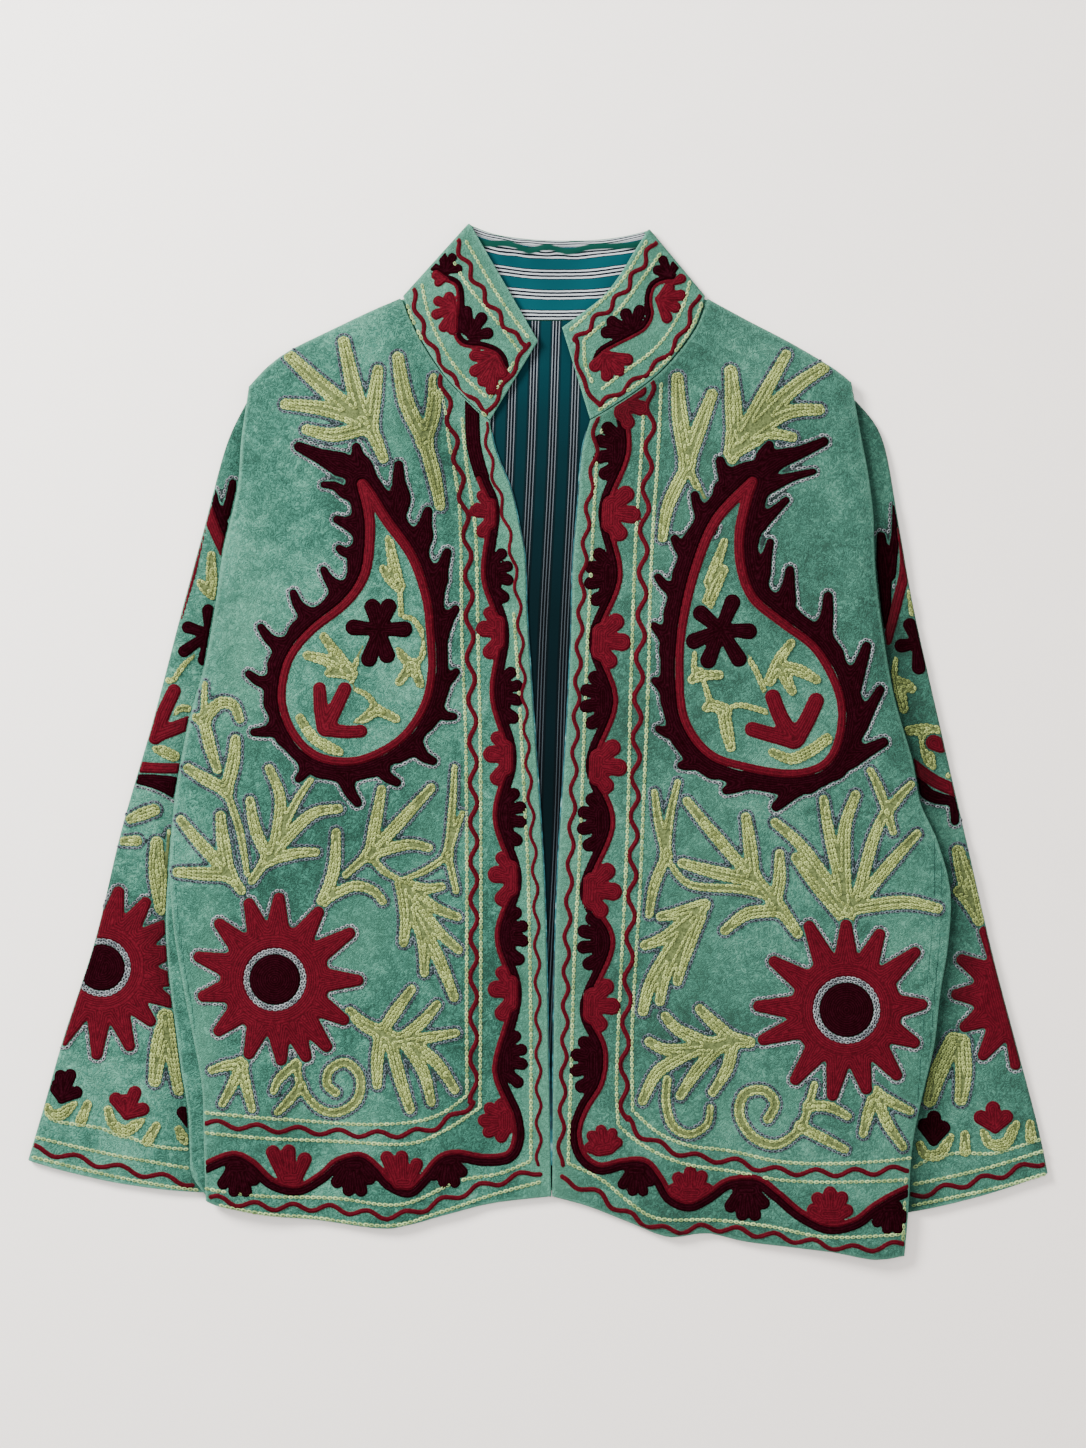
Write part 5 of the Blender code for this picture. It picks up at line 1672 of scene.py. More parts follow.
# Cuff flowers: thread, foot, tips of the petals, width, crescent of leaves
SLEEVE_RIGHT_CUPS = [
    ("maroon", (-332.5, -250), [(-339.5, -238), (-333.5, -230), (-325, -229.5), (-318.5, -243.5)], 9,
     (-345, -253, -338.8, -260.5, -331, -259.5, -325, -252)),
    ("red", (-287, -261), [(-297, -246.5), (-280, -241.5), (-272, -255.5), (-288.5, -247)], 10,
     (-301, -254, -297, -266.5, -289, -272, -281, -268, -276, -260)),
    ("maroon", (-243, -268), [(-250, -256), (-240, -252)], 9, (-252.5, -268, -247, -277.5, -238, -279)),
]
SLEEVE_RIGHT_OVALS = [(-312.8, -250, -319, -265), (-264.5, -265.5, -272.5, -279)]
SLEEVE_RIGHT_RED_LINE = ([(-353, -284), (-300, -296.5), (-241, -309)], 2.4, 30, 1)
SLEEVE_RIGHT_CREAM = [
    [(-344, -259), (-337.2, -265), (-315, -268.5), (-303.9, -270.5), (-292.8, -275.4), (-284.8, -276.6),
     (-273.7, -281), (-261, -283.7), (-240, -285.4)],
    [(-351, -276.5), (-299, -288.3), (-236, -299.6)],
    [(-353, -290.2), (-315, -299.5), (-283, -306.4), (-259.4, -310.6), (-237, -313.6)],
]
SLEEVE_LEFT_STEMS = [
    [(258.6, 107, 262, 86, 5.5)],
    [(249.6, 59, 248.8, 45, 250.5, 40, 4.5), (264, 34.5, 257, 39, 250.5, 40, 9),
     (256.5, 19, 253, 30, 250.5, 40, 9.5)],
    [(253, 6, 266, 8, 280, 7, 8.5), (275, -22, 272, -8, 270, 6, 10)], [(287, -22, 285.5, -27, 5)],
]
SLEEVE_LEFT_BRANCHES = [
    [(292, -72, 298, -96, 309, -124, 12), (303, -78, 306, -100, 311, -124, 8),
     (290, -102, 300, -112, 310, -124, 9)],
    [(272, -256, 280, -230, 290, -209, 12.5), (294.5, -255, 297, -232, 296, -210, 12)],
]
SLEEVE_LEFT_SUN = (338.0, -177.0)
SLEEVE_LEFT_SUN_TIPS = [(310, -130), (293, -151), (289, -177), (295, -201), (309, -222), (333, -229)]
SLEEVE_LEFT_CUPS = [
    ("maroon", (276, -279), [(267.5, -264.5), (276.5, -258.5), (285.5, -266.5)], 10.2,
     (265, -279, 270.5, -288.5, 280.5, -288, 286.5, -277)),
    ("red", (319, -270), [(305.5, -260), (317, -252), (329.5, -259)], 10.6,
     (309.5, -270, 315.5, -281, 326.5, -280, 332.5, -268)),
]
SLEEVE_LEFT_OVALS = [(298, -271, 298, -286), (343, -263.5, 344, -277)]
SLEEVE_LEFT_RED_LINE = ([(259, -318), (296, -309.5), (325, -302), (354, -293)], 2.5, 29, 2.6)
SLEEVE_LEFT_CREAM = [
    [(262, -298), (272, -292.5), (286, -288.5), (297, -287.5), (313, -288), (325.5, -286), (351, -278)],
    [(262, -309.5), (293, -303), (322, -295.5), (353, -286)],
    [(260.5, -324.5), (297, -317), (325.5, -310.5), (354.5, -302)],
]


def sew_front(sewing, side):
    """side holds one front's tables by name."""
    paisley(sewing, side["paisley"], PAISLEY_RED, side["band"], side["outward"], side["thorns"])
    petals(sewing, "maroon", side["flower"], side["flower_tips"], PAISLEY_PETAL)
    sewing.sew("red", [tapered(row, TULIP_WIDTHS) for row in side["tulip"]], blend=3.0, outlined=False)
    for spray in side["inner_leaves"]:
        leaf_spray(sewing, spray, outlined=False)
    for spray in side["leaves"]:
        leaf_spray(sewing, spray)
    sunburst(sewing, side["sun"], side["sun_tips"], *side["sun_sizes"])
    vine(sewing, side["vine"], side["red_side"], red_from=side["red_from"])
    for flower in side["blooms"]:
        bloom(sewing, *flower)
    for line in side["red_lines"]:
        red_line(sewing, *line)
    for points in side["cream_lines"]:
        sewing.chain("cream", points)
    for points in side["seams"]:
        sewing.sew("seam", [(points, (SEAM_WIDTH,))], outlined=False)


# Rows of machine stitching along the side seams
RIGHT_SEAMS = [
    [(-250, 10), (-254, -40), (-252.5, -100), (-246.5, -154), (-239.5, -196), (-237, -258)],
    [(-226, 214), (-233, 150), (-240, 90)],
]
LEFT_SEAMS = [
    [(276.5, -60), (275.8, -100), (274.5, -130), (269.6, -183), (265.5, -236), (261, -300)],
    [(281.5, -60), (281.2, -108), (279.8, -135), (275.6, -183), (271, -236), (266, -290)],
    [(226, 232), (236, 170), (246, 100)],
]

FRONTS = {
    "right": {
        "paisley": RIGHT_PAISLEY, "thorns": RIGHT_THORNS, "band": 8.5, "outward": 1,
        "flower": RIGHT_FLOWER, "flower_tips": RIGHT_FLOWER_TIPS, "tulip": RIGHT_TULIP,
        "inner_leaves": RIGHT_INNER_LEAVES, "leaves": RIGHT_LEAVES,
        "sun": RIGHT_SUN, "sun_tips": RIGHT_SUN_TIPS, "sun_sizes": (17.8, 21.8, 38),
        "vine": RIGHT_VINE, "red_side": -1, "red_from": 2, "blooms": RIGHT_BLOOMS,
        "red_lines": RIGHT_RED_LINES, "cream_lines": RIGHT_CREAM_LINES, "seams": RIGHT_SEAMS,
    },
    "left": {
        "paisley": LEFT_PAISLEY, "thorns": LEFT_THORNS, "band": 10.5, "outward": -1,
        "flower": LEFT_FLOWER, "flower_tips": LEFT_FLOWER_TIPS, "tulip": LEFT_TULIP,
        "inner_leaves": LEFT_INNER_LEAVES, "leaves": LEFT_LEAVES,
        "sun": LEFT_SUN, "sun_tips": LEFT_SUN_TIPS, "sun_sizes": (19, 23.3, 38.5),
        "vine": LEFT_VINE, "red_side": 1, "red_from": 0, "blooms": LEFT_BLOOMS,
        "red_lines": LEFT_RED_LINES, "cream_lines": LEFT_CREAM_LINES, "seams": LEFT_SEAMS,
    },
}


def sew_collar(sewing):
    for turns, red_side in COLLAR_VINES:
        vine(sewing, turns, red_side, COLLAR_VINE)
    for thread, foot, tips, width in COLLAR_FLOWERS:
        petals(sewing, thread, foot, tips, width * COLLAR_PETAL_SHARE, COLLAR_PETAL_FOOT)
    for points, rise, period, phase in COLLAR_RED_LINES:
        red_line(sewing, points, rise, period, phase, COLLAR_LINE)
    for points in COLLAR_CREAM_LINES:
        sewing.chain("cream", points)


def sew_right_sleeve(sewing):
    sewing.sew("red", [([(-231, 162), (-225, 146), (-216, 126)], (9, 8))], outlined=False)
    sewing.sew("red", [([(-233.5, 151), (-241, 122), (-250, 86)], (5, 7.5, 4))], outlined=False)
    sewing.sew("maroon", [
        ([(-226.5, 174), (-226, 162)], (5, 9)), ([(-213, 180), (-216, 160)], (6, 9)),
        ([(-226, 160), (-216, 142), (-208, 128)], (9, 11)),
    ], blend=4)
    leaf_spray(sewing, SLEEVE_RIGHT_LEAVES, outlined=False)
    tips = [(-230.5, 95), (-248, 80.5), (-250, 60.5), (-234, 53), (-214, 68), (-214, 84)]
    petals(sewing, "maroon", (-229.5, 75), tips, 9)
    for spray in SLEEVE_RIGHT_STEMS:
        leaf_spray(sewing, spray, outlined=False)
    sewing.sew("red", [
        ([(-254, 35), (-262, 18), (-267, 6)], (10, 11)),
        ([(-243, 13), (-256, 8), (-267, 4)], (10, 11)),
        ([(-272, 10), (-267, 2)], (7, 9)),
    ], blend=2, outlined=False)
    sewing.sew("red", [([(-280, -18), (-262, -19), (-244, -19)], (8, 7.5))], outlined=False)
    sewing.sew("maroon", [([(-284, -26), (-264, -29), (-246, -35)], (6, 11, 18))])
    for spray in SLEEVE_RIGHT_BRANCHES:
        leaf_spray(sewing, spray)
    sunburst(sewing, SLEEVE_RIGHT_SUN, SLEEVE_RIGHT_SUN_TIPS, 16.4, 20.4, 37)
    sew_cuff(sewing, SLEEVE_RIGHT_CUPS, SLEEVE_RIGHT_OVALS, SLEEVE_RIGHT_RED_LINE, SLEEVE_RIGHT_CREAM)


def sew_left_sleeve(sewing):
    sewing.sew("red", [([(252, 148), (256, 122), (250.5, 96), (244, 70)], (4, 7.5, 7.5, 6.5))],
               outlined=False)
    sewing.sew("maroon", [
        ([(239.5, 143), (241, 120), (240, 84)], (6.5, 12, 13)),
        ([(248.5, 164), (249, 142), (246, 116)], (3, 6, 8)),
    ], blend=3)
    petals(sewing, "maroon", (265, 68), [(258, 85), (249.5, 66), (266, 47), (276, 74)], 10)
    for spray in SLEEVE_LEFT_STEMS:
        leaf_spray(sewing, spray, outlined=False)
    sewing.sew("red", [([(276, -1), (281, -3)], (11,))], outlined=False)
    sewing.sew("red", [([(258, -14), (277, -28), (296, -36)], (9, 9.5))], outlined=False)
    sewing.sew("maroon", [([(262, -24), (274, -38), (298, -43)], (9, 9, 6))])
    sewing.sew("maroon", [([(291, -44), (291, -56)], (8, 6))])
    for spray in SLEEVE_LEFT_BRANCHES:
        leaf_spray(sewing, spray)
    sunburst(sewing, SLEEVE_LEFT_SUN, SLEEVE_LEFT_SUN_TIPS, 6, 8, 35)
    sew_cuff(sewing, SLEEVE_LEFT_CUPS, SLEEVE_LEFT_OVALS, SLEEVE_LEFT_RED_LINE, SLEEVE_LEFT_CREAM)


def sew_cuff(sewing, cups, ovals, red, cream):
    """Flowers over crescents of leaves, ovals between them, a red line and cream lines."""
    for thread, foot, tips, width, crescent in cups:
        leaf_spray(sewing, [(*crescent, CUFF_LEAF)], outlined=False)
        petals(sewing, thread, foot, tips, width)
    for ends in ovals:
        leaf_spray(sewing, [(*ends, CUFF_OVAL)], outlined=False)
    red_line(sewing, *red)
    for points in cream:
        sewing.chain("cream", points)


# Materials


def linear(code):
    """A screen colour as the renderer's linear colour."""
    parts = [int(code[i: i + 2], 16) / 255 for i in (1, 3, 5)]
    return tuple(c / 12.92 if c <= 0.04045 else ((c + 0.055) / 1.055) ** 2.4 for c in parts) + (1.0,)


# Share of its full colour that the cloth shows beside the bright floor
CLOTH_TONE = 0.62
# Colour that painted shade multiplies a material's colour towards
PAINTED_SHADE_COLOUR = (0.2, 0.23, 0.23, 1.0)
# Places of a colour mix's sockets, which share their names with those for other kinds of value
MIX_SHARE, MIX_FIRST, MIX_SECOND, MIX_RESULT = 0, 6, 7, 2


class Nodes:
    """Builds a material's nodes, each from its kind, its settings and its inputs."""

    def __init__(self, name, tone=CLOTH_TONE):
        self.tone = tone
        self.material = bpy.data.materials.new(name)
        self.material.use_nodes = True
        self.tree = self.material.node_tree
        self.shader = self.tree.nodes["Principled BSDF"]

    def add(self, kind, settings=None, **inputs):
        node = self.tree.nodes.new(kind)
        for key, value in (settings or {}).items():
            setattr(node, key, value)
        for key, value in inputs.items():
            self.feed(node.inputs[key], value)
        return node

    def feed(self, socket, value):
        if isinstance(value, bpy.types.NodeSocket):
            self.tree.links.new(value, socket)
        elif isinstance(value, tuple):
            socket.default_value = self.toned(value)
        else:
            socket.default_value = value

    def toned(self, colour):
        return tuple(part * self.tone for part in colour[:3]) + (1.0,)

    def darkened(self, share, colour, factor=PAINTED_SHADE_COLOUR):
        """The colour, multiplied towards a factor by a share."""
        node = self.add("ShaderNodeMix", {"data_type": "RGBA", "blend_type": "MULTIPLY"})
        self.feed(node.inputs[MIX_SHARE], share)
        self.feed(node.inputs[MIX_FIRST], colour)
        node.inputs[MIX_SECOND].default_value = factor
        return node.outputs[MIX_RESULT]

    def noise(self, scale, detail=2.0, roughness=0.5, distortion=0.0):
        node = self.add(
            "ShaderNodeTexNoise", Scale=scale, Detail=detail, Roughness=roughness, Distortion=distortion,
        )
        self.feed(node.inputs["Vector"], self.place())
        return node.outputs["Fac"]

    def place(self):
        return self.add("ShaderNodeTexCoord").outputs["Object"]

    def attribute(self, name):
        return self.add("ShaderNodeAttribute", {"attribute_name": name}).outputs["Fac"]

    def math(self, operation, first, second=0.0, third=None):
        node = self.add("ShaderNodeMath", {"operation": operation})
        self.feed(node.inputs[0], first)
        self.feed(node.inputs[1], second)
        if third is not None:
            self.feed(node.inputs[2], third)
        return node.outputs[0]

    def span(self, value, low, high, new_low=0.0, new_high=1.0):
        """The value moved from one range to another, held inside it."""
        node = self.add("ShaderNodeMapRange", {"clamp": True})
        for place, number in enumerate((value, low, high, new_low, new_high)):
            self.feed(node.inputs[place], number)
        return node.outputs[0]

    def ramp(self, value, stops, interpolation="LINEAR"):
        node = self.add("ShaderNodeValToRGB")
        self.feed(node.inputs[0], value)
        ramp = node.color_ramp
        ramp.interpolation = interpolation
        while len(ramp.elements) < len(stops):
            ramp.elements.new(0.5)
        for element, (place, colour) in zip(ramp.elements, stops):
            element.position = place
            element.color = self.toned(colour)
        return node.outputs["Color"]

    def mix(self, share, first, second):
        node = self.add("ShaderNodeMix", {"data_type": "RGBA"})
        for place, value in ((MIX_SHARE, share), (MIX_FIRST, first), (MIX_SECOND, second)):
            self.feed(node.inputs[place], value)
        return node.outputs[MIX_RESULT]

    def bump(self, height, strength, distance):
        node = self.add("ShaderNodeBump", Strength=strength, Distance=distance * MM)
        self.feed(node.inputs["Height"], height)
        return node.outputs["Normal"]

    def finish(self, colour, roughness, normal, specular=0.3):
        inputs = self.shader.inputs
        self.feed(inputs["Base Color"], colour)
        self.feed(inputs["Roughness"], roughness)
        self.feed(inputs["Normal"], normal)
        inputs["Specular IOR Level"].default_value = specular
        return self.material

    def add_sheen(self, weight, roughness, tint):
        inputs = self.shader.inputs
        inputs["Sheen Weight"].default_value = weight
        inputs["Sheen Roughness"].default_value = roughness
        inputs["Sheen Tint"].default_value = tint


VELVET_DARK = (0.018, 0.066, 0.047, 1.0)
VELVET_MID = (0.034, 0.122, 0.088, 1.0)
VELVET_LIGHT = (0.056, 0.21, 0.152, 1.0)
VELVET_PALE = (0.13, 0.37, 0.265, 1.0)
VELVET_WORN_AND_LIT = (0.10, 0.30, 0.205, 1.0)
VELVET_SHADED_GREY = (0.05, 0.10, 0.072, 1.0)
VELVET_SHEEN = (0.55, 0.9, 0.75, 1.0)


def velvet_material(name, darker, grey=0.0):
    """Crushed velvet: soft patches, a worm-like crushed nap, and pale edges, part wear and part painted
    highlight; copies and attributes add painted shade and painted light.
    """
    n = Nodes(name)
    patches = n.noise(9.0, 3.0, 0.55, 0.4)
    worms = n.noise(210.0, 2.0, 0.55, 2.4)
    ridge = n.math("ABSOLUTE", n.math("SUBTRACT", worms, 0.5))
    ridge = n.span(ridge, 0.0, 0.13)
    marks = n.noise(70.0, 3.0, 0.6, 1.0)
    fibres = n.noise(1300.0, 2.0, 0.6)
    tone = n.math("MULTIPLY_ADD", patches, 1.15, n.math("MULTIPLY", marks, 0.75))
    tone = n.math("MULTIPLY_ADD", ridge, -0.34, tone)
    tone = n.math("ADD", tone, -0.2 - darker)
    base = n.ramp(tone, [(0.22, VELVET_DARK), (0.43, VELVET_MID), (0.62, VELVET_LIGHT), (0.9, VELVET_PALE)])
    # Paler along the front edges and at every rim: part wear, part painted highlight
    rubbed_and_highlit = n.math("MULTIPLY", n.attribute("worn"), n.span(n.noise(45.0, 3.0), 0.25, 0.75, 0.6, 1.0))
    base = n.mix(rubbed_and_highlit, base, VELVET_WORN_AND_LIT)
    worn = n.math("MULTIPLY_ADD", n.noise(160.0, 2.0), 1.6, n.attribute("edge"))
    pale = n.span(worn, 3.4, 1.2)
    colour = n.mix(n.math("MULTIPLY", pale, 0.75), base, VELVET_PALE)
    # A copy drawn greyer is painted shade
    if grey:
        colour = n.mix(grey, colour, VELVET_SHADED_GREY)
    # Painted light, then painted shade, from the panel's attributes
    colour = n.mix(n.attribute("glow"), colour, VELVET_WORN_AND_LIT)
    colour = n.darkened(n.attribute("dim"), colour)
    height = n.math("MULTIPLY_ADD", fibres, 0.25, n.math("MULTIPLY_ADD", marks, 0.5, ridge))
    normal = n.bump(height, 0.9, 0.7)
    roughness = n.span(marks, 0.3, 0.7, 0.8, 0.92)
    n.add_sheen(0.09, 0.4, VELVET_SHEEN)
    return n.finish(colour, roughness, normal, 0.04)


def thread_material(name, dark, mid, light, specular):
    """Dense satin-like rows of stitches that follow the outline of a shape."""
    n = Nodes(name)
    depth = n.attribute("depth")
    waver = n.noise(140.0, 2.0, 0.5, 0.5)
    row = n.math("FRACT", n.math("DIVIDE", n.math("MULTIPLY_ADD", waver, 1.1, depth), 1.55))
    groove = n.math("ABSOLUTE", n.math("SUBTRACT", row, 0.5))
    fibres = n.noise(520.0, 3.0, 0.7, 2.2)
    beads = n.noise(330.0, 1.0, 0.5, 0.6)
    # Darker in the grooves between rows: painted shade, beside the bump
    tone = n.math("MULTIPLY_ADD", groove, -0.55, n.math("MULTIPLY_ADD", fibres, 0.75, 0.28))
    tone = n.math("MULTIPLY_ADD", beads, 0.3, tone)
    colour = n.darkened(n.attribute("dim"), n.ramp(tone, [(0.36, dark), (0.66, mid), (1.0, light)]))
    height = n.math("MULTIPLY_ADD", groove, -1.2, n.math("MULTIPLY_ADD", beads, 0.8, fibres))
    normal = n.bump(height, 0.75, 0.4)
    return n.finish(colour, 0.7, normal, specular)


# How much darker grey chains are beside leaves than beside red and maroon
BESIDE_LEAVES = (0.45, 0.52, 0.56, 1.0)


def link_material(name, dark, light, core, loop, flank):
    """Chain stitches: each in its own shade. loop and flank are how dark the middle of a loop and its sides
    are
    drawn: the cloth showing through, with painted shade."""
    n = Nodes(name)
    shade = n.math("MULTIPLY_ADD", n.noise(60.0, 2.0), 0.5, n.math("MULTIPLY", n.attribute("shade"), 0.5))
    colour = n.ramp(shade, [(0.16, dark), (0.68, light)])
    fibres = n.noise(900.0, 2.0, 0.6, 1.0)
    colour = n.mix(n.span(fibres, 0.35, 0.75, 0.3, 0.0), colour, dark)
    colour = n.darkened(n.span(n.attribute("pale"), 1.0, 0.0), colour, BESIDE_LEAVES)
    colour = n.mix(n.span(n.attribute("flank"), 0.1, 0.7, 0.0, flank), colour, core)
    colour = n.mix(n.span(n.attribute("core"), 0.15, 0.5, 0.0, loop), colour, core)
    colour = n.darkened(n.attribute("dim"), colour)
    return n.finish(colour, 0.75, n.bump(fibres, 0.5, 0.2), 0.05)


def underlay_material(name, dark, light):
    """The cloth and thread ends that show between chain stitches."""
    n = Nodes(name)
    colour = n.ramp(n.noise(420.0, 3.0, 0.6, 1.0), [(0.35, dark), (0.7, light)])
    colour = n.darkened(n.attribute("dim"), colour)
    return n.finish(colour, 0.85, n.bump(n.noise(700.0, 2.0), 0.5, 0.25), 0.03)


# Colours of the linings. The back lining's deep teal, mid teal and grey white are the collar lining's teal
# and white drawn darker: painted shade inside the back
TEAL = (0.003, 0.072, 0.09, 1.0)
DEEP_TEAL = (0.0012, 0.022, 0.03, 1.0)
MID_TEAL = (0.0016, 0.04, 0.052, 1.0)
NAVY = (0.001, 0.004, 0.009, 1.0)
WHITE = (0.6, 0.66, 0.7, 1.0)
WHITE_IN_PAINTED_SHADE = (0.30, 0.34, 0.38, 1.0)
RUFFLE_PAINTED_SHADOW = (0.002, 0.05, 0.036, 1.0)
CLOUDY_TEAL = (0.0008, 0.004, 0.006, 1.0)
# Colour that painted shade multiplies the linings towards
LINING_PAINTED_SHADE_COLOUR = (0.14, 0.17, 0.18, 1.0)
# Stripes across each lining: the length of one repeat, and in shares of it each stripe's start and colour
COLLAR_REPEAT = 14.9
BACK_REPEAT = 14.7
COLLAR_STRIPES = [
    (0.0, TEAL), (0.5, NAVY), (0.535, WHITE), (0.62, NAVY), (0.71, WHITE), (0.79, NAVY), (0.88, WHITE),
    (0.96, NAVY),
]
# The back lining's stripes, in its colours drawn darker as painted shade
BACK_STRIPES = [
    (0.0, MID_TEAL), (0.25, DEEP_TEAL), (0.33, NAVY), (0.365, WHITE_IN_PAINTED_SHADE), (0.408, NAVY), (0.51, WHITE_IN_PAINTED_SHADE),
    (0.553, NAVY), (0.655, WHITE_IN_PAINTED_SHADE), (0.698, NAVY), (0.73, DEEP_TEAL), (0.82, MID_TEAL),
]


def lining_material(name, stripes, repeat, start, wear):
    """Plain-woven cotton with groups of three fine stripes."""
    n = Nodes(name)
    across = n.math("MULTIPLY_ADD", n.noise(240.0, 2.0), wear, n.attribute("stripe"))
    share = n.math("FRACT", n.math("DIVIDE", n.math("ADD", across, start + 100 * repeat), repeat))
    colour = n.ramp(share, stripes, "CONSTANT")
    cloudy = n.noise(14.0, 2.0, 0.5, 0.3)
    colour = n.mix(n.span(cloudy, 0.3, 0.7, 0.0, 0.35), colour, CLOUDY_TEAL)
    # Dark green along the drawn-in band: painted shadow of its puckers
    colour = n.mix(n.span(n.attribute("ruffle"), 0.25, 0.7), colour, RUFFLE_PAINTED_SHADOW)
    colour = n.darkened(n.attribute("dim"), colour, LINING_PAINTED_SHADE_COLOUR)
    return n.finish(colour, 0.65, n.bump(n.noise(1500.0, 1.0), 0.35, 0.15), 0.03)


def lip_material(name):
    n = Nodes(name)
    stops = [(0.4, linear("#06363f")), (0.6, linear("#1b6a70")), (0.75, linear("#7fb3ae"))]
    colour = n.ramp(n.noise(120.0, 2.0), stops)
    return n.finish(colour, 0.7, n.bump(n.noise(900.0, 2.0), 0.4, 0.2))


def floor_material():
    n = Nodes("pale_floor", 1.0)
    across = n.add("ShaderNodeSeparateXYZ")
    n.feed(across.inputs[0], n.place())
    # Painted light: lighter towards the upper left and darker towards the lower right
    painted_falloff = n.math("MULTIPLY_ADD", across.outputs[0], 0.75, n.math("MULTIPLY", across.outputs[1], -0.45))
    colour = n.ramp(n.span(painted_falloff, -0.6, 0.6), [(0.0, linear("#f8f4f0")), (1.0, linear("#ebe2db"))])
    fine = n.noise(30.0, 3.0)
    colour = n.mix(n.span(fine, 0.3, 0.7, 0.0, 0.04), colour, linear("#d3c9c0"))
    return n.finish(colour, 0.9, n.bump(n.noise(220.0, 2.0), 0.05, 0.3))


# Making the scene


def dress(obj, material, slot, *nodes):
    if material is not None:
        obj.data.materials.append(material)
    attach(obj, "root")
    if nodes:
        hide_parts(*nodes)
    return obj


# How far the embroidery keeps off a panel's rim
RIM_GAP = 0.8


def embroider(name, panel, low, high, outline, sew, dim=no_painted_shade, beyond=None):
    """Sews one panel inside its outline and outside another, and returns its pieces."""
    sewing = Sewing(low, high)
    sew(sewing)
    rim = signed_distance(sewing.x, sewing.y, outline)
    if beyond is not None:
        rim = np.maximum(rim, -signed_distance(sewing.x, sewing.y, beyond))
    limit = rim + RIM_GAP
    sewing.settle(limit)
    ground = Ground(panel)
    made = []
    for thread in FILLS:
        made.append(fill_object(f"{name}_{thread}_fill", sewing, thread, ground, THREADS[thread], dim))
    for thread in STITCHES:
        title = f"{name}_{thread}_chains"
        made.append(stitch_object(title, sewing, thread, ground, limit, LINKS[thread], dim))
    return [dress(obj, None, "velvet") for obj in made if obj is not None]


LEAF_DARK, LEAF_LIGHT, LEAF_CORE = (0.24, 0.29, 0.085, 1), (0.66, 0.78, 0.25, 1), (0.035, 0.05, 0.022, 1)
GREY_DARK, GREY_LIGHT, GREY_CORE = (0.13, 0.15, 0.165, 1), (0.42, 0.46, 0.48, 1), (0.004, 0.006, 0.009, 1)
CREAM_DARK, CREAM_LIGHT, CREAM_CORE = (0.24, 0.36, 0.13, 1), (0.62, 0.82, 0.36, 1), (0.03, 0.08, 0.045, 1)
THREADS = {
    "red": thread_material(
        "red_thread", (0.024, 0.0008, 0.0025, 1), (0.08, 0.0025, 0.008, 1), (0.17, 0.008, 0.019, 1), 0.03,
    ),
    "maroon": thread_material(
        "maroon_thread", (0.005, 0.0006, 0.001, 1), (0.013, 0.0012, 0.003, 1), (0.04, 0.004, 0.01, 1), 0.0,
    ),
    "leaf": underlay_material("leaf_underlay", (0.06, 0.08, 0.03, 1), (0.20, 0.25, 0.09, 1)),
    "grey": underlay_material("grey_underlay", (0.006, 0.007, 0.011, 1), (0.05, 0.055, 0.065, 1)),
    # A dark thread line and painted shadow beside the outline chains
    "outline": underlay_material("outline_underlay_and_shadow", (0.008, 0.014, 0.015, 1), (0.035, 0.06, 0.055, 1)),
    "seam": underlay_material("seam_thread", (0.006, 0.028, 0.023, 1), (0.02, 0.075, 0.058, 1)),
}
LINKS = {
    "leaf": link_material("leaf_chain", LEAF_DARK, LEAF_LIGHT, LEAF_CORE, 0.75, 0.95),
    "grey": link_material("grey_chain", GREY_DARK, GREY_LIGHT, GREY_CORE, 1.0, 0.35),
    "cream": link_material("cream_chain", CREAM_DARK, CREAM_LIGHT, CREAM_CORE, 0.85, 0.5),
}

# One velvet three times: as lit, drawn darker and greyer in painted shade for the left front and sleeve, and
# darker for the back
velvet_lit = velvet_material("crushed_velvet_lit", 0.0)
velvet_shaded = velvet_material("crushed_velvet_shaded", 0.02, 0.22)
velvet_low_shaded = velvet_material("crushed_velvet_low_shaded", 0.02)

back = dress(make_back(), velvet_low_shaded, "velvet", "back")
front_right, outline_right = make_front(
    "front_right_velvet", HEM_RIGHT, SEAM_RIGHT, SHOULDER_RIGHT, NECK_RIGHT, EDGE_RIGHT, 1, 1.0, RIGHT_PAINTED_SHADE_AND_LIGHT,
)
dress(front_right, velvet_lit, "velvet", "front_right")
# The left front lies more in shade, so its pale front edge is drawn weaker: part painted shade
front_left, outline_left = make_front(
    "front_left_velvet", HEM_LEFT, SEAM_LEFT, SHOULDER_LEFT, NECK_LEFT, EDGE_LEFT, -1, 0.8, LEFT_PAINTED_SHADE_AND_LIGHT,
)
dress(front_left, velvet_shaded, "velvet", "front_left")
body_outline = SIDE_RIGHT + SHOULDER_RIGHT[1:] + SHOULDER_LEFT[::-1] + SIDE_LEFT[::-1]


def painted_shadow_beside_body(strength, reach):
    """Painted shadow on a sleeve where it comes out from under the body."""
    def dim(x, y):
        away = np.clip(signed_distance(x, y, body_outline), 0, None)
        return strength * (1 - ease(away / reach))
    return dim


painted_shadow_right, painted_shadow_left = painted_shadow_beside_body(0.35, 20.0), painted_shadow_beside_body(0.8, 30.0)
sleeve_right = make_sleeve("sleeve_right_velvet", SLEEVE_RIGHT, body_outline, painted_shadow_right)
sleeve_left = make_sleeve("sleeve_left_velvet", SLEEVE_LEFT, body_outline, painted_shadow_left)
dress(sleeve_right, velvet_lit, "velvet", "sleeve_right")
dress(sleeve_left, velvet_shaded, "velvet", "sleeve_left")
collar = dress(make_collar(), velvet_lit, "velvet", "collar")
collar_stripes = lining_material("collar_lining_stripes", COLLAR_STRIPES, COLLAR_REPEAT, 6.95, 0.5)
back_stripes = lining_material("back_lining_stripes", BACK_STRIPES, BACK_REPEAT, 7.6, 0.3)
collar_lining = dress(make_collar_lining(), collar_stripes, "striped_lining", "collar_lining")
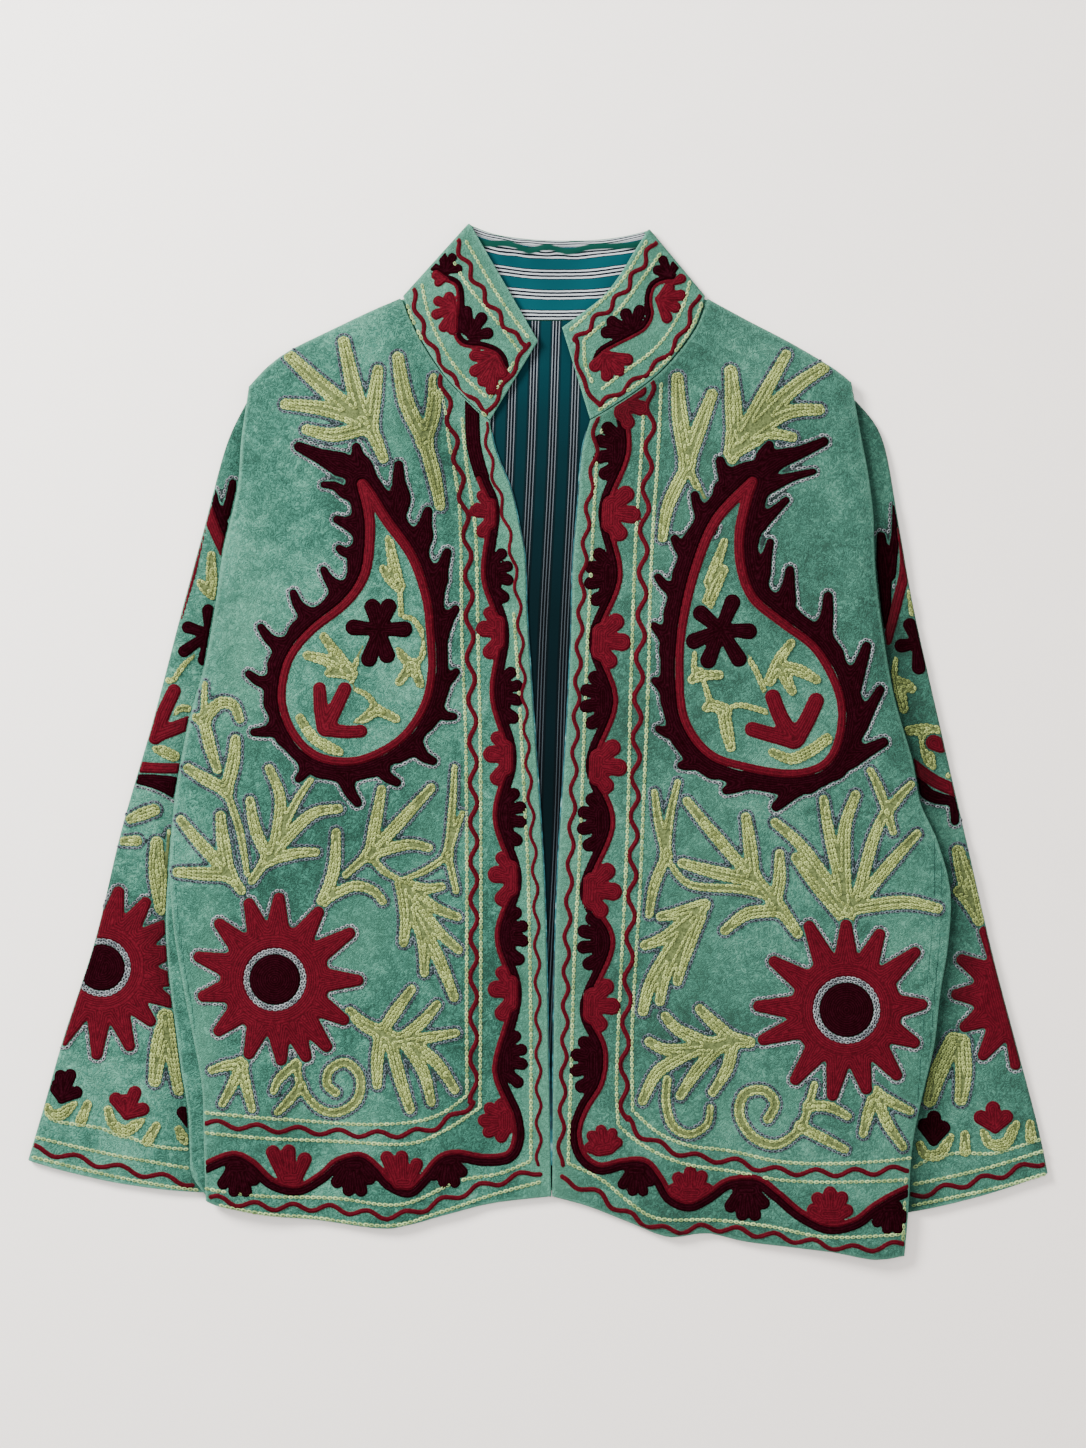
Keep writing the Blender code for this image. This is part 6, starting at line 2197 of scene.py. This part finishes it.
back_lining = dress(make_back_lining(), back_stripes, "striped_lining", "back_lining")

lip = lip_material("lining_edge")
closed_right = SEAM_RIGHT + SHOULDER_RIGHT[1:-1] + [NECK_RIGHT[-1]]
closed_left = SEAM_LEFT + SHOULDER_LEFT[1:-1] + [NECK_LEFT[-1]]
lip_right = make_edge_lip("lining_lip_right", EDGE_RIGHT, -1, closed_right)
lip_left = make_edge_lip("lining_lip_left", EDGE_LEFT, 1, closed_left)
for piece in (lip_right, lip_left):
    dress(piece, lip, "striped_lining")

sewn = {
    "front_right": embroider(
        "front_right", front_right, (-262, -345), (14, 315), outline_right,
        lambda sewing: sew_front(sewing, FRONTS["right"]), lambda x, y: blobs_at(x, y, RIGHT_PAINTED_SHADE_AND_LIGHT, 1),
    ),
    "front_left": embroider(
        "front_left", front_left, (6, -365), (292, 315), outline_left,
        lambda sewing: sew_front(sewing, FRONTS["left"]), lambda x, y: blobs_at(x, y, LEFT_PAINTED_SHADE_AND_LIGHT, 1),
    ),
    "sleeve_right": embroider(
        "sleeve_right", sleeve_right, (-360, -322), (-196, 242), bowed_outline(SLEEVE_RIGHT),
        sew_right_sleeve, painted_shadow_right, body_outline,
    ),
    "sleeve_left": embroider(
        "sleeve_left", sleeve_left, (210, -340), (360, 242), bowed_outline(SLEEVE_LEFT),
        sew_left_sleeve, painted_shadow_left, body_outline,
    ),
}
# Each half of the collar: name, neck seam, free edge, corners of its embroidery's field
COLLAR_HALVES = [
    ("collar_right", NECK_RIGHT, COLLAR_TOP_RIGHT, (-98, 220), (4, 365)),
    ("collar_left", NECK_LEFT, COLLAR_TOP_LEFT, (12, 220), (122, 365)),
]
for name, neck, top, low, high in COLLAR_HALVES:
    outline = [tuple(p) for p in np.vstack([even(neck, 20), even(top, 20)[::-1]])]
    sewn[name] = embroider(name, collar, low, high, outline, sew_collar)

# Each sheet: piece, flat width and length in metres, what it rests on, cut area, pieces on it
SHEETS = [
    (back, (0.56, 0.69), ["sleeve_right_velvet", "sleeve_left_velvet"], 0.309, []),
    (front_right, (0.27, 0.66), ["back_velvet"], 0.148, sewn["front_right"]),
    (front_left, (0.29, 0.68), ["back_velvet"], 0.140, sewn["front_left"]),
    (collar, (0.44, 0.068), ["back_velvet"], 0.0246, sewn["collar_right"] + sewn["collar_left"]),
    (collar_lining, (0.21, 0.068), ["collar_velvet"], 0.0095, []),
    (back_lining, (0.13, 0.62), ["back_velvet"], 0.044, []),
    (sleeve_right, (0.29, 0.58), ["pale_floor"], 0.15, sewn["sleeve_right"]),
    (sleeve_left, (0.29, 0.58), ["pale_floor"], 0.15, sewn["sleeve_left"]),
]


FLOOR_HALF = 2200.0
FLOOR_Z = -0.15


def make_floor():
    corners = [(-FLOOR_HALF, -FLOOR_HALF), (FLOOR_HALF, -FLOOR_HALF), (FLOOR_HALF, FLOOR_HALF),
               (-FLOOR_HALF, FLOOR_HALF)]
    floor = mesh_object("pale_floor", [(x, y, FLOOR_Z) for x, y in corners], [[0, 1, 2, 3]])
    floor.data.materials.append(floor_material())


# Camera and lights, in metres. Each light is aimed at the middle: name, place, power, width, colour
CAMERA_DISTANCE = 2.0
VIEW_CENTRE = (0.0035, 0.0119)
VIEW_HEIGHT = 1.0136
SENSOR = 36.0
LIGHTS = [
    ("key", (-1.5, 1.25, 1.45), 168.0, 0.9, (1.0, 0.985, 0.96)),
    ("fill", (1.4, -0.6, 1.9), 22.0, 1.8, (0.95, 0.97, 1.0)),
    ("top", (0.0, 0.2, 2.6), 38.0, 2.2, (1.0, 0.99, 0.97)),
]
SKY_COLOUR = (0.95, 0.94, 0.93, 1.0)
SKY_STRENGTH = 0.88

make_floor()
for piece, flat, under, area, carried in SHEETS:
    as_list(under)
    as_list(carried)

for name, place, power, width, colour in LIGHTS:
    light_data = bpy.data.lights.new(name, "AREA")
    light_data.energy = power
    light_data.color = colour
    light_data.shape = "DISK"
    light_data.size = width
    light = bpy.data.objects.new(name, light_data)
    light.location = place
    light.rotation_euler = (Vector((0.0, 0.0, 0.0)) - Vector(place)).to_track_quat("-Z", "Y").to_euler()
    bpy.context.scene.collection.objects.link(light)

world = bpy.data.worlds.new("soft_studio")
bpy.context.scene.world = world
world.use_nodes = True
sky = world.node_tree.nodes["Background"].inputs
sky["Color"].default_value = SKY_COLOUR
sky["Strength"].default_value = SKY_STRENGTH

camera_data = bpy.data.cameras.new("camera")
camera_data.sensor_width = SENSOR
camera_data.lens = SENSOR * CAMERA_DISTANCE / VIEW_HEIGHT
camera = bpy.data.objects.new("camera", camera_data)
camera.location = (*VIEW_CENTRE, CAMERA_DISTANCE)
bpy.context.scene.collection.objects.link(camera)
bpy.context.scene.camera = camera
